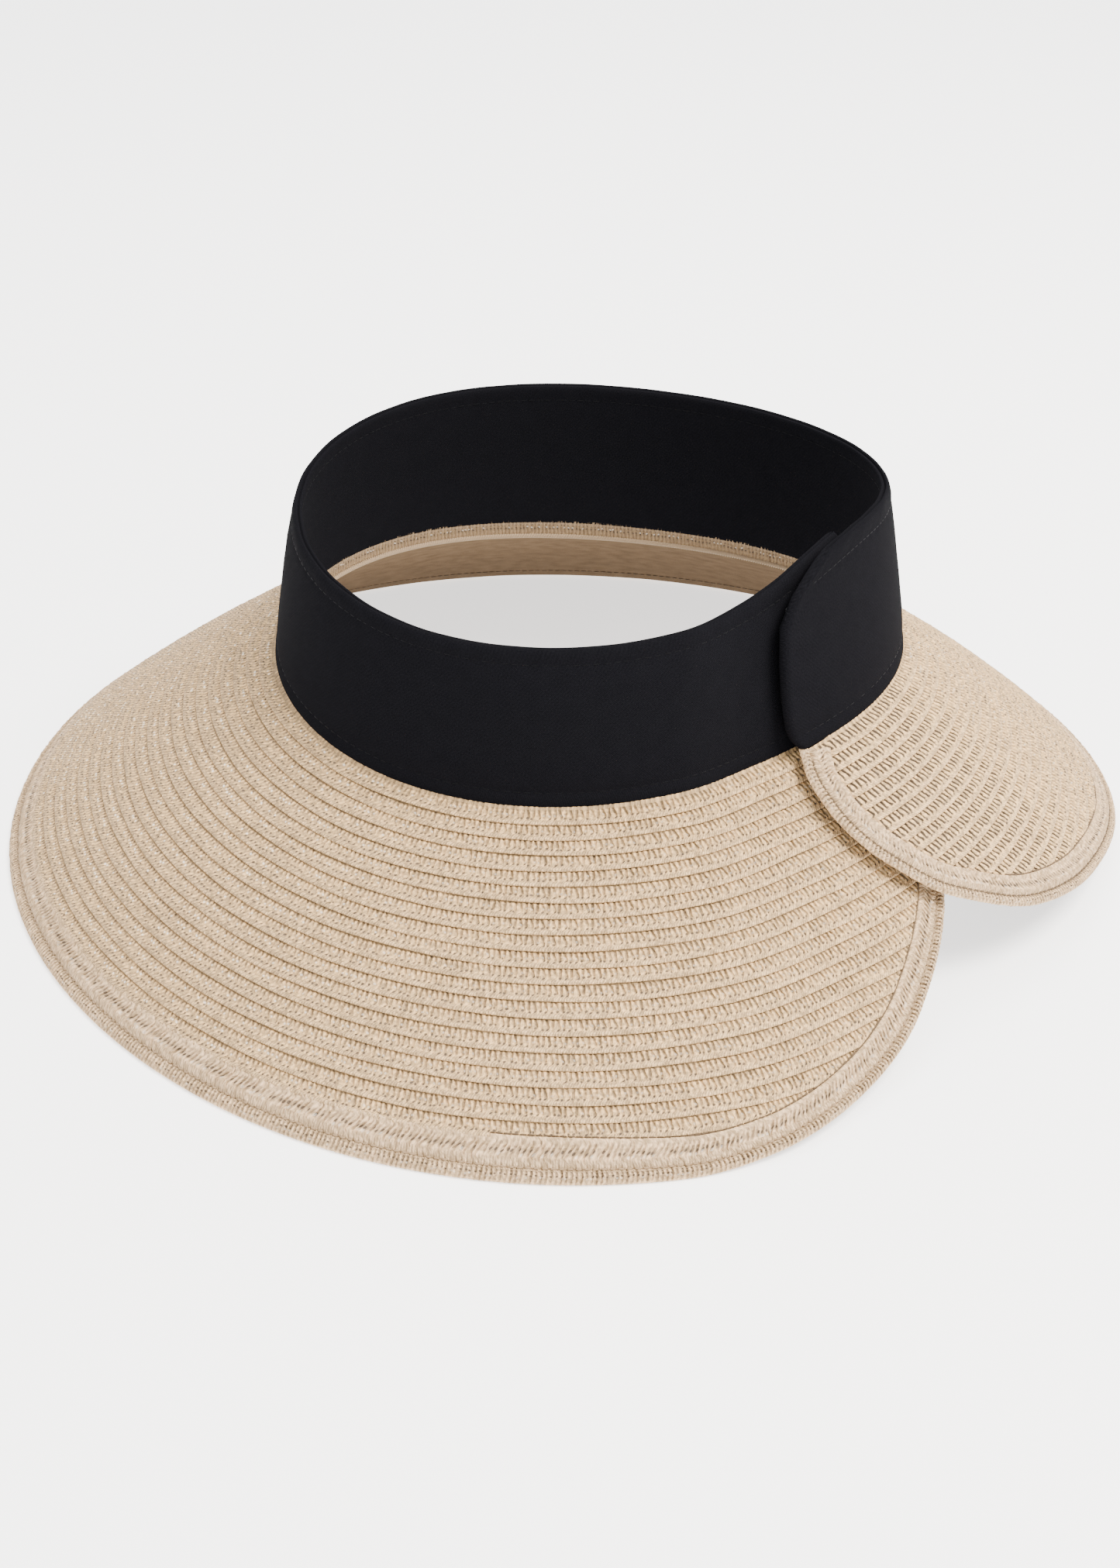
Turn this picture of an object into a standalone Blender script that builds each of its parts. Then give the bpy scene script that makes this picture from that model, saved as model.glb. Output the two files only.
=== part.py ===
"""A wrap-round straw sun visor: rows of sewn braid over a cloth lining, a fabric headband,
and an outer flap that closes over the tucked inner end with a hook-and-loop patch.

Angles run anticlockwise seen from above, from +X. The brim is described by an angle, a
distance u measured down its slope from the crease under the headband, and a height n
square to its surface. Lengths are in millimetres and are turned into metres at the end.
"""

import math

import bmesh
import bpy

MM = 0.001

# Where the middle of the headband stands in the row frame.
RING_X = 6.829
RING_Y = -1.212

# The crease, where headband and brim meet: a head-sized ring pressed a little out of round.
CREASE_RADIUS = 90.0
OVAL_2 = (0.025, 0.010)
OVAL_3 = (0.002, 0.005)
CREASE_HEIGHT = 62.5
CREASE_WAVE = (2.563, -2.978)

# The top of the headband. It leans inwards all round, and more over the closure.
TOP_SCALE = 0.933
TOP_SHIFT = (1.5, -0.07)
BAND_HEIGHT = 47.8
TOP_TILT = (0.72, 4.2)
TOP_WAVE = (1.47, -2.77)
CLOSURE_ANGLE = 331.0
CLOSURE_SPREAD = 28.6
CLOSURE_LEAN = 0.075
CLOSURE_RAISE = 4.3

# The outer rim lies flat on a table. Its mean radius, then its 1st to 4th waves round the ring.
RIM_RADIUS = 174.28
RIM_WAVES = ((-7.08, 3.64), (-1.60, -1.82), (0.78, 2.59), (0.35, 0.19))
BRIM_BULGE = 2.1

# Flat pattern of the brim, a cone cut open.
PATTERN_SLOPE = 34.5

# Both ends of the strip.
ROOT_ANGLE = 352.0
ROOT_GAP = 0.15
TAPER_START = 277.0
ROOT_TAPER_START = 20.0
ROOT_WIDTH_SHARE = 0.916
ROOT_CURVE = 2.3
INNER_END_OUTLINE = (
    (281.0, 104.9),
    (284.5, 103.3),
    (288.4, 101.1),
    (294.2, 97.0),
    (300.1, 91.6),
    (305.0, 85.0),
    (309.2, 77.7),
    (313.5, 70.1),
    (317.7, 62.1),
    (321.5, 54.0),
    (327.0, 45.5),
    (332.0, 35.5),
    (335.5, 23.0),
    (336.0, 10.0),
    (334.5, 1.5),
)
FLAP_OUTLINE = (
    (346.5, 87.1),
    (339.0, 82.6),
    (331.8, 76.7),
    (326.6, 70.8),
    (320.6, 60.8),
    (316.6, 53.2),
    (313.3, 43.5),
    (310.5, 33.8),
    (308.7, 24.0),
    (308.1, 15.0),
    (308.3, 8.0),
    (309.8, 1.5),
)

# How far the inner end dips under the flap: inwards, and this share of it downwards.
DIP = 5.4
DIP_DOWN = 0.45
DIP_START = 285.0
DIP_FULL = 302.0

# Straw braid.
ROW_COUNT = 20
FLAP_ROW_COUNT = 18
ROW_OVERLAP = 1.25
ROW_START = 0.7
ROW_RISE = 1.7
ROW_THICKNESS = 0.9
ROW_END_GAP = 0.9
ROW_END_ANGLE = 0.6
ROW_LEAST_WIDTH = 1.2
BORDER_TOTAL = 12.4
BORDER_TOTAL_AT_ENDS = 9.6
EDGE_SHARE = 0.33
BORDER_RISE = 0.4
EDGE_THICKNESS = 1.3
FOOT_WIDTH = 1.5
STRIP_GAP = 0.3

# Cloth under the straw.
LINING_TOP = -0.5
LINING_THICKNESS = 0.8
LINING_INSET = 3.2
LINING_START = 2.0
LINING_BANDS = 4

# Headband layers, as distances outwards from the ring.
BAND_OUTER = (0.6, 1.3)
BAND_STIFFENER = (-0.4, 0.2)
BAND_LINING = (-1.5, -0.8)
COLLAR = (-1.5, -0.8)
OUTER_HEIGHTS = (0.9, 47.8)
STIFFENER_HEIGHTS = (4.5, 46.0)
LINING_HEIGHTS = (2.5, 47.8)
COLLAR_HEIGHTS = (-1.2, 2.2)
BAND_SHARES = (0.0, 0.12, 0.35, 0.62, 0.8, 0.9, 0.96, 1.0)

# Where each end of the headband stops: halfway up, at its foot and at its top.
FLAP_BAND_END = (307.1, 310.6, 323.0)
INNER_BAND_END = (338.5, 335.0, 335.0)
BAND_END_POWER = 5
BAND_END_STEPS = 4
STIFFENER_SETBACK = 2.0

# Seam piping under the crease.
PIPING_RADIUS = 0.7
PIPING_INSET = 1.2
PIPING_DROP = 2.2
PIPING_SIDES = 6

# Hook-and-loop patches.
TAPE_HEIGHTS = (10.0, 40.0)
LOOP_TAPE = (1.6, 2.4)
LOOP_TAPE_ANGLES = (312.0, 333.0)
HOOK_TAPE = (-2.6, -1.8)
HOOK_TAPE_ANGLES = (310.5, 331.0)

# Spacing of the cross-sections along each strip.
COARSE_STEP = 12.0
FINE_STEP = 5.0

STRAW_COLOUR = (0.70, 0.58, 0.42, 1.0)
BORDER_COLOUR = (0.73, 0.61, 0.46, 1.0)
LINING_COLOUR = (0.45, 0.33, 0.21, 1.0)
BAND_COLOUR = (0.012, 0.012, 0.017, 1.0)
STIFFENER_COLOUR = (0.70, 0.70, 0.68, 1.0)
PIPING_COLOUR = (0.72, 0.62, 0.48, 1.0)
TAPE_COLOUR = (0.02, 0.02, 0.025, 1.0)


def wave(angle, order, pair):
    """One cosine and sine wave round the ring."""
    turn = math.radians(angle) * order
    return pair[0] * math.cos(turn) + pair[1] * math.sin(turn)


def smooth(x):
    """0 to 1 with level ends."""
    x = max(0.0, min(1.0, x))
    return x * x * (3.0 - 2.0 * x)


def crease(angle):
    """Radius and height of the crease at this angle."""
    shape = 1.0 + wave(angle, 2, OVAL_2) + wave(angle, 3, OVAL_3)
    return CREASE_RADIUS * shape, CREASE_HEIGHT + wave(angle, 2, CREASE_WAVE)


def rim_radius(angle):
    """Radius of the brim's outer rim."""
    return RIM_RADIUS + sum(wave(angle, order + 1, pair) for order, pair in enumerate(RIM_WAVES))


def full_width(angle):
    """Distance down the slope from crease to rim."""
    radius, height = crease(angle)
    return math.hypot(rim_radius(angle) - radius, height)


def row_pitch(angle):
    """Spacing of the rows of braid, which share out the brim's width inside its border."""
    return (full_width(angle) - BORDER_TOTAL - ROW_START) / ROW_COUNT


def row_inner(index, angle):
    """Distance u of a row's inner edge."""
    return ROW_START + index * row_pitch(angle)


def place(angle, radius, height):
    """A point of the row frame, in metres."""
    turn = math.radians(angle)
    x = RING_X + radius * math.cos(turn)
    y = RING_Y + radius * math.sin(turn)
    return (x * MM, y * MM, height * MM)


def brim_point(angle, u, n, dip):
    """A point of the brim, u down the slope and n above its surface, on a strip that dips."""
    radius, height = crease(angle)
    reach = rim_radius(angle) - radius
    slope = math.atan2(height, reach)
    share = u / math.hypot(reach, height)
    above = n + 4.0 * BRIM_BULGE * share * (1.0 - share)
    return place(
        angle,
        radius + reach * share + above * math.sin(slope) - dip,
        height * (1.0 - share) + above * math.cos(slope) - dip * DIP_DOWN,
    )


def band_top(angle):
    """Scale of the headband's top against the crease, and the height of its top edge."""
    away = (angle - CLOSURE_ANGLE + 180.0) % 360.0 - 180.0
    closure = math.exp(-((away / CLOSURE_SPREAD) ** 2))
    height = CREASE_HEIGHT + BAND_HEIGHT + wave(angle, 1, TOP_TILT) + wave(angle, 2, TOP_WAVE)
    return TOP_SCALE * (1.0 - CLOSURE_LEAN * closure), height + CLOSURE_RAISE * closure


def band_point(angle, up, out, dip):
    """A point of the headband, up from the crease and out from the ring, on a strip that dips."""
    radius, height = crease(angle)
    scale, top_z = band_top(angle)
    turn = math.radians(angle)
    top_x = radius * scale * math.cos(turn) + TOP_SHIFT[0]
    top_y = radius * scale * math.sin(turn) + TOP_SHIFT[1]
    share = up / BAND_HEIGHT
    x = radius * math.cos(turn) * (1.0 - share) + top_x * share + (out - dip) * math.cos(turn)
    y = radius * math.sin(turn) * (1.0 - share) + top_y * share + (out - dip) * math.sin(turn)
    z = height * (1.0 - share) + top_z * share - dip * DIP_DOWN
    return ((RING_X + x) * MM, (RING_Y + y) * MM, z * MM)


def main_dip(angle):
    """How far the main strip dips at this angle."""
    return DIP * smooth((angle - DIP_START) / (DIP_FULL - DIP_START))


def no_dip(angle):
    """The flap follows the ring."""
    return 0.0


def to_pattern(angle, u):
    """Flat-pattern coordinates of a brim point."""
    slope = math.radians(PATTERN_SLOPE)
    radius = CREASE_RADIUS / math.cos(slope) + u
    turn = math.radians(angle) * math.cos(slope)
    return radius * math.cos(turn), radius * math.sin(turn)


def from_pattern(x, y, near):
    """Angle and u of a flat-pattern point, on the same turn as the angle near."""
    slope = math.radians(PATTERN_SLOPE)
    turn = math.atan2(y, x)
    wanted = math.radians(near) * math.cos(slope)
    turn += 2.0 * math.pi * round((wanted - turn) / (2.0 * math.pi))
    u = math.hypot(x, y) - CREASE_RADIUS / math.cos(slope)
    return math.degrees(turn / math.cos(slope)), u


def spline(points, per_span):
    """A smooth line through the points."""
    made = []
    for i in range(len(points) - 1):
        before = points[max(i - 1, 0)]
        after = points[min(i + 2, len(points) - 1)]
        for j in range(per_span):
            t = j / per_span
            made.append(tuple(blend_four(before[k], points[i][k], points[i + 1][k], after[k], t) for k in (0, 1)))
    made.append(points[-1])
    return made


def blend_four(a, b, c, d, t):
    """Catmull-Rom value between b and c."""
    return b + 0.5 * t * (c - a + t * (2.0 * a - 5.0 * b + 4.0 * c - d + t * (3.0 * (b - c) + d - a)))


def stations(start, end, step):
    """Angles from start to end, spread evenly at about the step."""
    count = max(1, math.ceil(abs(end - start) / step))
    return [start + (end - start) * i / count for i in range(count + 1)]


def main_angles(end):
    """Cross-section angles of the main strip from its root to the end angle."""
    start = ROOT_ANGLE - 360.0 + ROOT_GAP
    if end <= TAPER_START:
        return stations(start, end, COARSE_STEP)
    return stations(start, TAPER_START, COARSE_STEP) + stations(TAPER_START, end, FINE_STEP)[1:]


def flap_angles(end):
    """Cross-section angles of the flap from its root to the end angle."""
    return stations(ROOT_ANGLE - ROOT_GAP, end, FINE_STEP)


def main_width(angle):
    """Outer limit of the main strip before the inner end tapers."""
    root = ROOT_ANGLE - 360.0
    left = max(0.0, 1.0 - (angle - root) / (ROOT_TAPER_START - root))
    return full_width(angle) * (1.0 - (1.0 - ROOT_WIDTH_SHARE) * left**ROOT_CURVE)


def main_outline():
    """Outer edge of the main strip from the root round to the tip of the inner end."""
    long_edge = [(a, main_width(a)) for a in main_angles(TAPER_START)]
    taper = spline(((TAPER_START, full_width(TAPER_START)),) + INNER_END_OUTLINE, 3)
    return long_edge + taper[1:]


def flap_outline():
    """Outer edge of the flap from its root to its tip."""
    root = ROOT_ANGLE - ROOT_GAP
    return spline(((root, full_width(root) * ROOT_WIDTH_SHARE),) + FLAP_OUTLINE, 3)


def inward(outline, distance_at):
    """The outline moved inwards in the flat pattern by distance_at(index)."""
    flat = [to_pattern(*point) for point in outline]
    middle = to_pattern(outline[len(outline) // 3][0], 0.0)
    moved = []
    for i, (x, y) in enumerate(flat):
        ahead = flat[min(i + 1, len(flat) - 1)]
        behind = flat[max(i - 1, 0)]
        dx, dy = ahead[0] - behind[0], ahead[1] - behind[1]
        length = math.hypot(dx, dy)
        side = inward_side(flat, middle)
        distance = distance_at(i)
        point = (x - side * dy / length * distance, y + side * dx / length * distance)
        moved.append(from_pattern(point[0], point[1], outline[i][0]))
    moved[0] = (outline[0][0], moved[0][1])
    return moved


def inward_side(flat, middle):
    """1 if the inside is on the left of the outline's direction, and -1 if on the right."""
    i = len(flat) // 3
    dx, dy = flat[i + 1][0] - flat[i][0], flat[i + 1][1] - flat[i][1]
    across = dx * (middle[1] - flat[i][1]) - dy * (middle[0] - flat[i][0])
    return 1.0 if across > 0.0 else -1.0


def border_total(angle, start, end):
    """Width of border and edge braids together: narrower where they turn up the ends."""
    share = smooth((angle - start) / (end - start))
    return BORDER_TOTAL + (BORDER_TOTAL_AT_ENDS - BORDER_TOTAL) * share


def main_border(angle):
    """Border width along the main strip."""
    if angle < ROOT_TAPER_START + COARSE_STEP:
        return border_total(angle, ROOT_TAPER_START + COARSE_STEP, ROOT_ANGLE - 360.0)
    return border_total(angle, TAPER_START - COARSE_STEP, TAPER_START + COARSE_STEP)


def flap_border(angle):
    """Border width along the flap."""
    return BORDER_TOTAL_AT_ENDS


def loft(name, sections, material):
    """A closed solid through loops of points, capped at both ends."""
    mesh = bpy.data.meshes.new(name)
    made = bmesh.new()
    rings = [[made.verts.new(point) for point in section] for section in sections]
    for one, two in zip(rings, rings[1:]):
        for i in range(len(one)):
            j = (i + 1) % len(one)
            made.faces.new((one[i], one[j], two[j], two[i]))
    made.faces.new(rings[0][::-1])
    made.faces.new(rings[-1])
    bmesh.ops.recalc_face_normals(made, faces=made.faces)
    made.to_mesh(mesh)
    made.free()
    obj = bpy.data.objects.new(name, mesh)
    mesh.materials.append(material)
    COLLECTION.objects.link(obj)
    return obj


def sheet_section(lower, upper):
    """A loop round a thin sheet from its lower and upper lines of points."""
    return list(lower) + list(upper)[::-1]


def row_section(angle, inner, outer, dip):
    """Across one row of braid: low at its inner edge, with its outer lip raised."""
    rise = ROW_RISE * (outer - inner) / (row_pitch(angle) + ROW_OVERLAP)
    lower = (brim_point(angle, inner, 0.0, dip), brim_point(angle, outer, rise, dip))
    upper = (
        brim_point(angle, inner, ROW_THICKNESS, dip),
        brim_point(angle, outer, rise + ROW_THICKNESS, dip),
    )
    return sheet_section(lower, upper)


def limit_at(line, angle):
    """The furthest u of a border line at this angle, or None beyond its tip."""
    found = []
    for one, two in zip(line, line[1:]):
        if min(one[0], two[0]) <= angle <= max(one[0], two[0]) and one[0] != two[0]:
            share = (angle - one[0]) / (two[0] - one[0])
            found.append(one[1] + (two[1] - one[1]) * share)
    return max(found) if found else None


def tip_angle(line, index, spare):
    """Angle at which a row's inner edge, this much to spare, meets the tip end of a border line."""
    left = [u - row_inner(index, angle) - spare for angle, u in line]
    for i in range(len(line) - 1, 0, -1):
        if left[i] * left[i - 1] <= 0.0 and left[i] != left[i - 1]:
            share = left[i] / (left[i] - left[i - 1])
            return line[i][0] + (line[i - 1][0] - line[i][0]) * share
    return line[-1][0]


def row_angles(index, angles, line):
    """The angles that a row's cross-sections stand at, up to where the border closes it off."""
    way = 1.0 if angles[-1] > angles[0] else -1.0
    least = ROW_LEAST_WIDTH + ROW_END_GAP
    stop = way * min(way * tip_angle(line, index, 0.0), way * tip_angle(line, index, least))
    kept = [angle for angle in angles if way * angle < way * stop - ROW_END_ANGLE * 2.0]
    return kept + [stop - way * ROW_END_ANGLE]


def row_sections(index, angles, line, dip):
    """Cross-sections of a row's longest run, cut back wherever the border line comes in over it."""
    runs = [[]]
    for angle in row_angles(index, angles, line):
        limit = limit_at(line, angle)
        if limit is None:
            continue
        inner, pitch = row_inner(index, angle), row_pitch(angle)
        outer = min(inner + pitch + ROW_OVERLAP, limit - ROW_END_GAP)
        if index == ROW_COUNT - 1 and limit > inner + pitch - ROW_END_GAP:
            outer = inner + pitch + ROW_OVERLAP
        if outer - inner >= ROW_LEAST_WIDTH:
            runs[-1].append(row_section(angle, inner, outer, dip(angle)))
        else:
            runs.append([])
    return max(runs, key=len)


def add_rows(prefix, count, angles, line, dip, material):
    """Every row of braid on one body."""
    for index in range(count):
        sections = row_sections(index, angles, line, dip)
        loft(f"{prefix}_{index + 1:02d}", sections, material)


def border_sections(outline, inner_line, edge_line, dip):
    """Cross-sections of the wide border braid, between its two lines."""
    made = []
    for i in range(len(outline)):
        (a_in, u_in), (a_out, u_out) = inner_line[i], edge_line[i]
        dip_in, dip_out = dip(a_in), dip(a_out)
        lower = (brim_point(a_in, u_in, 0.0, dip_in), brim_point(a_out, u_out, BORDER_RISE, dip_out))
        upper = (
            brim_point(a_in, u_in, ROW_THICKNESS, dip_in),
            brim_point(a_out, u_out, BORDER_RISE + ROW_THICKNESS, dip_out),
        )
        made.append(sheet_section(lower, upper))
    return made


def edge_sections(outline, inner_line, foot_line, dip):
    """Cross-sections of the narrow edge braid, with the flat foot that it stands on."""
    made = []
    for i in range(len(outline)):
        (a_in, u_in), (a_foot, u_foot), (a_out, u_out) = inner_line[i], foot_line[i], outline[i]
        outer = brim_point(a_out, u_out, 0.0, dip(a_out))
        foot = brim_point(a_foot, u_foot, 0.0, dip(a_foot))
        foot = (foot[0], foot[1], min(foot[2], outer[2]))
        lower = (brim_point(a_in, u_in, 0.0, dip(a_in)), foot, outer)
        upper = (
            brim_point(a_in, u_in, EDGE_THICKNESS, dip(a_in)),
            brim_point(a_out, u_out, EDGE_THICKNESS, dip(a_out)),
        )
        made.append(sheet_section(lower, upper))
    return made


def add_border(prefix, outline, total, dip):
    """The wide border braid and the narrow edge braid. Returns the line that the rows stop at."""
    totals = [total(point[0]) for point in outline]
    inner_line = inward(outline, lambda i: totals[i])
    middle_line = inward(outline, lambda i: totals[i] * EDGE_SHARE + STRIP_GAP)
    edge_line = inward(outline, lambda i: totals[i] * EDGE_SHARE)
    foot_line = inward(outline, lambda i: FOOT_WIDTH)
    loft(prefix + "border_braid", border_sections(outline, inner_line, middle_line, dip), BORDER)
    loft(prefix + "edge_braid", edge_sections(outline, edge_line, foot_line, dip), BORDER)
    return inner_line


def lining_section(inner, outer, dip):
    """Across the cloth lining, from near the crease to its outer line."""
    lower, upper = [], []
    for k in range(LINING_BANDS + 1):
        share = k / LINING_BANDS
        angle = inner[0] + (outer[0] - inner[0]) * share
        u = inner[1] + (outer[1] - inner[1]) * share
        upper.append(brim_point(angle, u, LINING_TOP, dip(angle)))
        lower.append(brim_point(angle, u, LINING_TOP - LINING_THICKNESS, dip(angle)))
    return sheet_section(lower, upper)


def add_lining(name, outline, tip, dip):
    """The cloth lining, cut to the outline."""
    outer_line = inward(outline, lambda i: LINING_INSET)
    sections = []
    for i, (angle, u) in enumerate(outer_line):
        beyond = angle > tip if name == "brim_lining" else angle < tip
        inner_angle = tip if beyond else angle
        if u > LINING_START + 1.5:
            sections.append(lining_section((inner_angle, LINING_START), (angle, u), dip))
    loft(name, sections, LINING)


def band_end(up, stops, setback):
    """Angle at which a rounded end of the headband stops, at this height."""
    middle, foot, top = stops
    share = up / (BAND_HEIGHT / 2.0) - 1.0
    corner = top if share > 0.0 else foot
    back = setback if foot > middle else -setback
    return middle + back + (corner - middle) * abs(share) ** BAND_END_POWER


def band_section(angle_at, heights, layer, dip):
    """Up the headband: a loop round one layer."""
    inner, outer = [], []
    for share in BAND_SHARES:
        up = heights[0] + (heights[1] - heights[0]) * share
        angle = angle_at(up)
        inner.append(band_point(angle, up, layer[0], dip(angle)))
        outer.append(band_point(angle, up, layer[1], dip(angle)))
    return sheet_section(inner, outer)


def add_band_layer(name, angles, end, heights, layer, dip, material):
    """One layer of the headband. Its last cross-sections close in on the rounded end."""
    sections = [band_section(lambda up, a=a: a, heights, layer, dip) for a in angles]
    last = angles[-1]
    for k in range(1, BAND_END_STEPS + 1):
        share = k / BAND_END_STEPS

        def angle_at(up, share=share):
            return last + (end(up) - last) * share

        sections.append(band_section(angle_at, heights, layer, dip))
    loft(name, sections, material)


def add_tape(name, angles, layer, dip):
    """A hook or loop patch."""
    stops = stations(angles[0], angles[1], FINE_STEP)
    loft(name, [band_section(lambda up, a=a: a, TAPE_HEIGHTS, layer, dip) for a in stops], TAPE)


def piping_section(angle, dip):
    """A small round section under the crease."""
    radius, height = crease(angle)
    middle_radius = radius - dip - PIPING_INSET
    middle_height = height - dip * DIP_DOWN - PIPING_DROP
    made = []
    for k in range(PIPING_SIDES):
        turn = 2.0 * math.pi * k / PIPING_SIDES
        out, up = PIPING_RADIUS * math.cos(turn), PIPING_RADIUS * math.sin(turn)
        made.append(place(angle, middle_radius + out, middle_height + up))
    return made


def paint(name, colour, roughness):
    """A plain material."""
    material = bpy.data.materials.new(name)
    material.use_nodes = True
    shader = material.node_tree.nodes["Principled BSDF"]
    shader.inputs["Base Color"].default_value = colour
    shader.inputs["Roughness"].default_value = roughness
    return material


def add_band(prefix, angles, stops, dip):
    """The headband's three cloth layers and the straw collar inside its foot."""

    def end(up):
        return band_end(up, stops, 0.0)

    def set_back(up):
        return band_end(up, stops, STIFFENER_SETBACK)

    def collar_end(up):
        return band_end(0.0, stops, STIFFENER_SETBACK)

    add_band_layer(prefix + "headband_outer", angles, end, OUTER_HEIGHTS, BAND_OUTER, dip, CLOTH)
    add_band_layer(
        prefix + "headband_stiffener", angles, set_back, STIFFENER_HEIGHTS, BAND_STIFFENER, dip, STIFFENER
    )
    add_band_layer(prefix + "headband_lining", angles, end, LINING_HEIGHTS, BAND_LINING, dip, CLOTH)
    add_band_layer(prefix + "straw_collar", angles, collar_end, COLLAR_HEIGHTS, COLLAR, dip, STRAW)


def add_main():
    """Everything on the main strip, from its root to the inner end."""
    outline = main_outline()
    foot = INNER_BAND_END[1]
    line = add_border("", outline, main_border, main_dip)
    add_rows("straw_row", ROW_COUNT, main_angles(foot), line, main_dip, STRAW)
    add_lining("brim_lining", outline, foot - 1.0, main_dip)
    angles = main_angles(foot - FINE_STEP)
    add_band("", angles, INNER_BAND_END, main_dip)
    loft("seam_piping", [piping_section(a, main_dip(a)) for a in angles], PIPING)
    add_tape("loop_tape", LOOP_TAPE_ANGLES, LOOP_TAPE, main_dip)


def add_flap():
    """Everything on the outer flap."""
    outline = flap_outline()
    foot, top = FLAP_BAND_END[1:]
    line = add_border("flap_", outline, flap_border, no_dip)
    add_rows("flap_row", FLAP_ROW_COUNT, flap_angles(foot), line, no_dip, STRAW)
    add_lining("flap_lining", outline, foot + 1.0, no_dip)
    add_band("flap_", flap_angles(top + 1.0), FLAP_BAND_END, no_dip)
    loft("flap_seam_piping", [piping_section(a, 0.0) for a in flap_angles(foot + FINE_STEP)], PIPING)
    add_tape("hook_tape", HOOK_TAPE_ANGLES, HOOK_TAPE, no_dip)


for old in list(bpy.data.objects):
    bpy.data.objects.remove(old)

COLLECTION = bpy.data.collections.new("sun_visor")
bpy.context.scene.collection.children.link(COLLECTION)

STRAW = paint("straw", STRAW_COLOUR, 0.7)
BORDER = paint("border_straw", BORDER_COLOUR, 0.7)
LINING = paint("lining_cloth", LINING_COLOUR, 0.9)
CLOTH = paint("headband_cloth", BAND_COLOUR, 0.9)
STIFFENER = paint("stiffener", STIFFENER_COLOUR, 0.9)
PIPING = paint("piping", PIPING_COLOUR, 0.8)
TAPE = paint("hook_and_loop", TAPE_COLOUR, 0.8)

add_main()
add_flap()
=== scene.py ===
"""Looks of the wrap-round straw sun visor: sewn straw braid, cloth headband, lining and stitching.

Angles run anticlockwise seen from above and are unwrapped: the flap reaches from -52 to 12
degrees and the main strip from 12 to 336, so the strip is one piece of straw from end to end.
A brim point is an angle, a distance u down the slope from the crease, and a height n above
the surface. Lengths are in millimetres until they become mesh points, in metres.
"""

import math

import bpy
import numpy as np
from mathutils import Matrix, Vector, kdtree


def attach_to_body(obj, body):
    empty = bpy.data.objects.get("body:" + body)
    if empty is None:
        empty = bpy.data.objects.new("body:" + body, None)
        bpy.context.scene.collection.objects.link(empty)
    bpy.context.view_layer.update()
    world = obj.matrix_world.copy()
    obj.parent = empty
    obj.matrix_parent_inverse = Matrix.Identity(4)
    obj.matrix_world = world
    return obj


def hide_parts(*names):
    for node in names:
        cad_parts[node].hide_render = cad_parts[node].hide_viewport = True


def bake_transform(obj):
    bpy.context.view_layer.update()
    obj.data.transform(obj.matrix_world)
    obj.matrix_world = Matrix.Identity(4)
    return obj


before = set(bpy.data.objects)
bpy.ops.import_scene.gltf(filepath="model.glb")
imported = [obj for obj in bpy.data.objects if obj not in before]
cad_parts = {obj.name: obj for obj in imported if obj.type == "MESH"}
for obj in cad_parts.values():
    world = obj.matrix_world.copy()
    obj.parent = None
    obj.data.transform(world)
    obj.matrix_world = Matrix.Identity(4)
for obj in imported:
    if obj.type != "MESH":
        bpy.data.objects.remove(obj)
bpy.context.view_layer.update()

MM = 0.001
RANDOM = np.random.default_rng(7)

# The ring, crease, band top and rim, as in the CAD.
RING = (6.829, -1.212)
CREASE_RADIUS = 90.0
OVAL_2 = (0.025, 0.010)
OVAL_3 = (0.002, 0.005)
CREASE_HEIGHT = 62.5
CREASE_WAVE = (2.563, -2.978)
TOP_SCALE = 0.933
TOP_SHIFT = (1.5, -0.07)
BAND_HEIGHT = 47.8
TOP_TILT = (0.72, 4.2)
TOP_WAVE = (1.47, -2.77)
CLOSURE_ANGLE = 331.0
CLOSURE_SPREAD = 28.6
CLOSURE_LEAN = 0.075
CLOSURE_RAISE = 4.3
RIM_RADIUS = 174.28
RIM_WAVES = ((-7.08, 3.64), (-1.60, -1.82), (0.78, 2.59), (0.35, 0.19))
BRIM_BULGE = 2.1
PATTERN_SLOPE = math.radians(34.5)

# Both ends of the strip, and the line across it where the flap's pieces meet the main ones.
SEAM = 12.0
ROOT_ANGLE = -8.0
ROOT_TAPER_START = 20.0
ROOT_WIDTH_SHARE = 0.916
ROOT_CURVE = 2.3
TAPER_START = 277.0
INNER_END_OUTLINE = (
    (281.0, 104.9),
    (284.5, 103.3),
    (288.4, 101.1),
    (294.2, 97.0),
    (300.1, 91.6),
    (305.0, 85.0),
    (309.2, 77.7),
    (313.5, 70.1),
    (317.7, 62.1),
    (321.5, 54.0),
    (327.0, 45.5),
    (332.0, 35.5),
    (335.5, 23.0),
    (336.0, 10.0),
    (334.5, 1.5),
    (333.9, -0.6),
)
FLAP_OUTLINE = (
    (-49.6, -0.6),
    (-50.3, 1.5),
    (-51.7, 8.0),
    (-51.9, 15.0),
    (-51.3, 24.0),
    (-49.5, 33.8),
    (-46.7, 43.5),
    (-43.4, 53.2),
    (-39.4, 60.8),
    (-33.4, 70.8),
    (-28.2, 76.7),
    (-21.0, 82.6),
    (-13.5, 87.1),
)
DIP = 5.4
DIP_DOWN = 0.45
DIP_START = 285.0
DIP_FULL = 302.0

# Straw braid.
ROW_COUNT = 20
ROW_START = 0.7
ROW_OVERLAP = 1.25
ROW_STEP = 0.25
BORDER_TOTAL = 12.4
BORDER_TOTAL_AT_ENDS = 9.6
EDGE_SHARE = 0.33
STRAND = 1.45
FLAP_STRAND = 1.85
BORDER_STRAND = 1.5
EDGE_STRAND = 1.3
COLLAR_STRAND = 1.3

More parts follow.
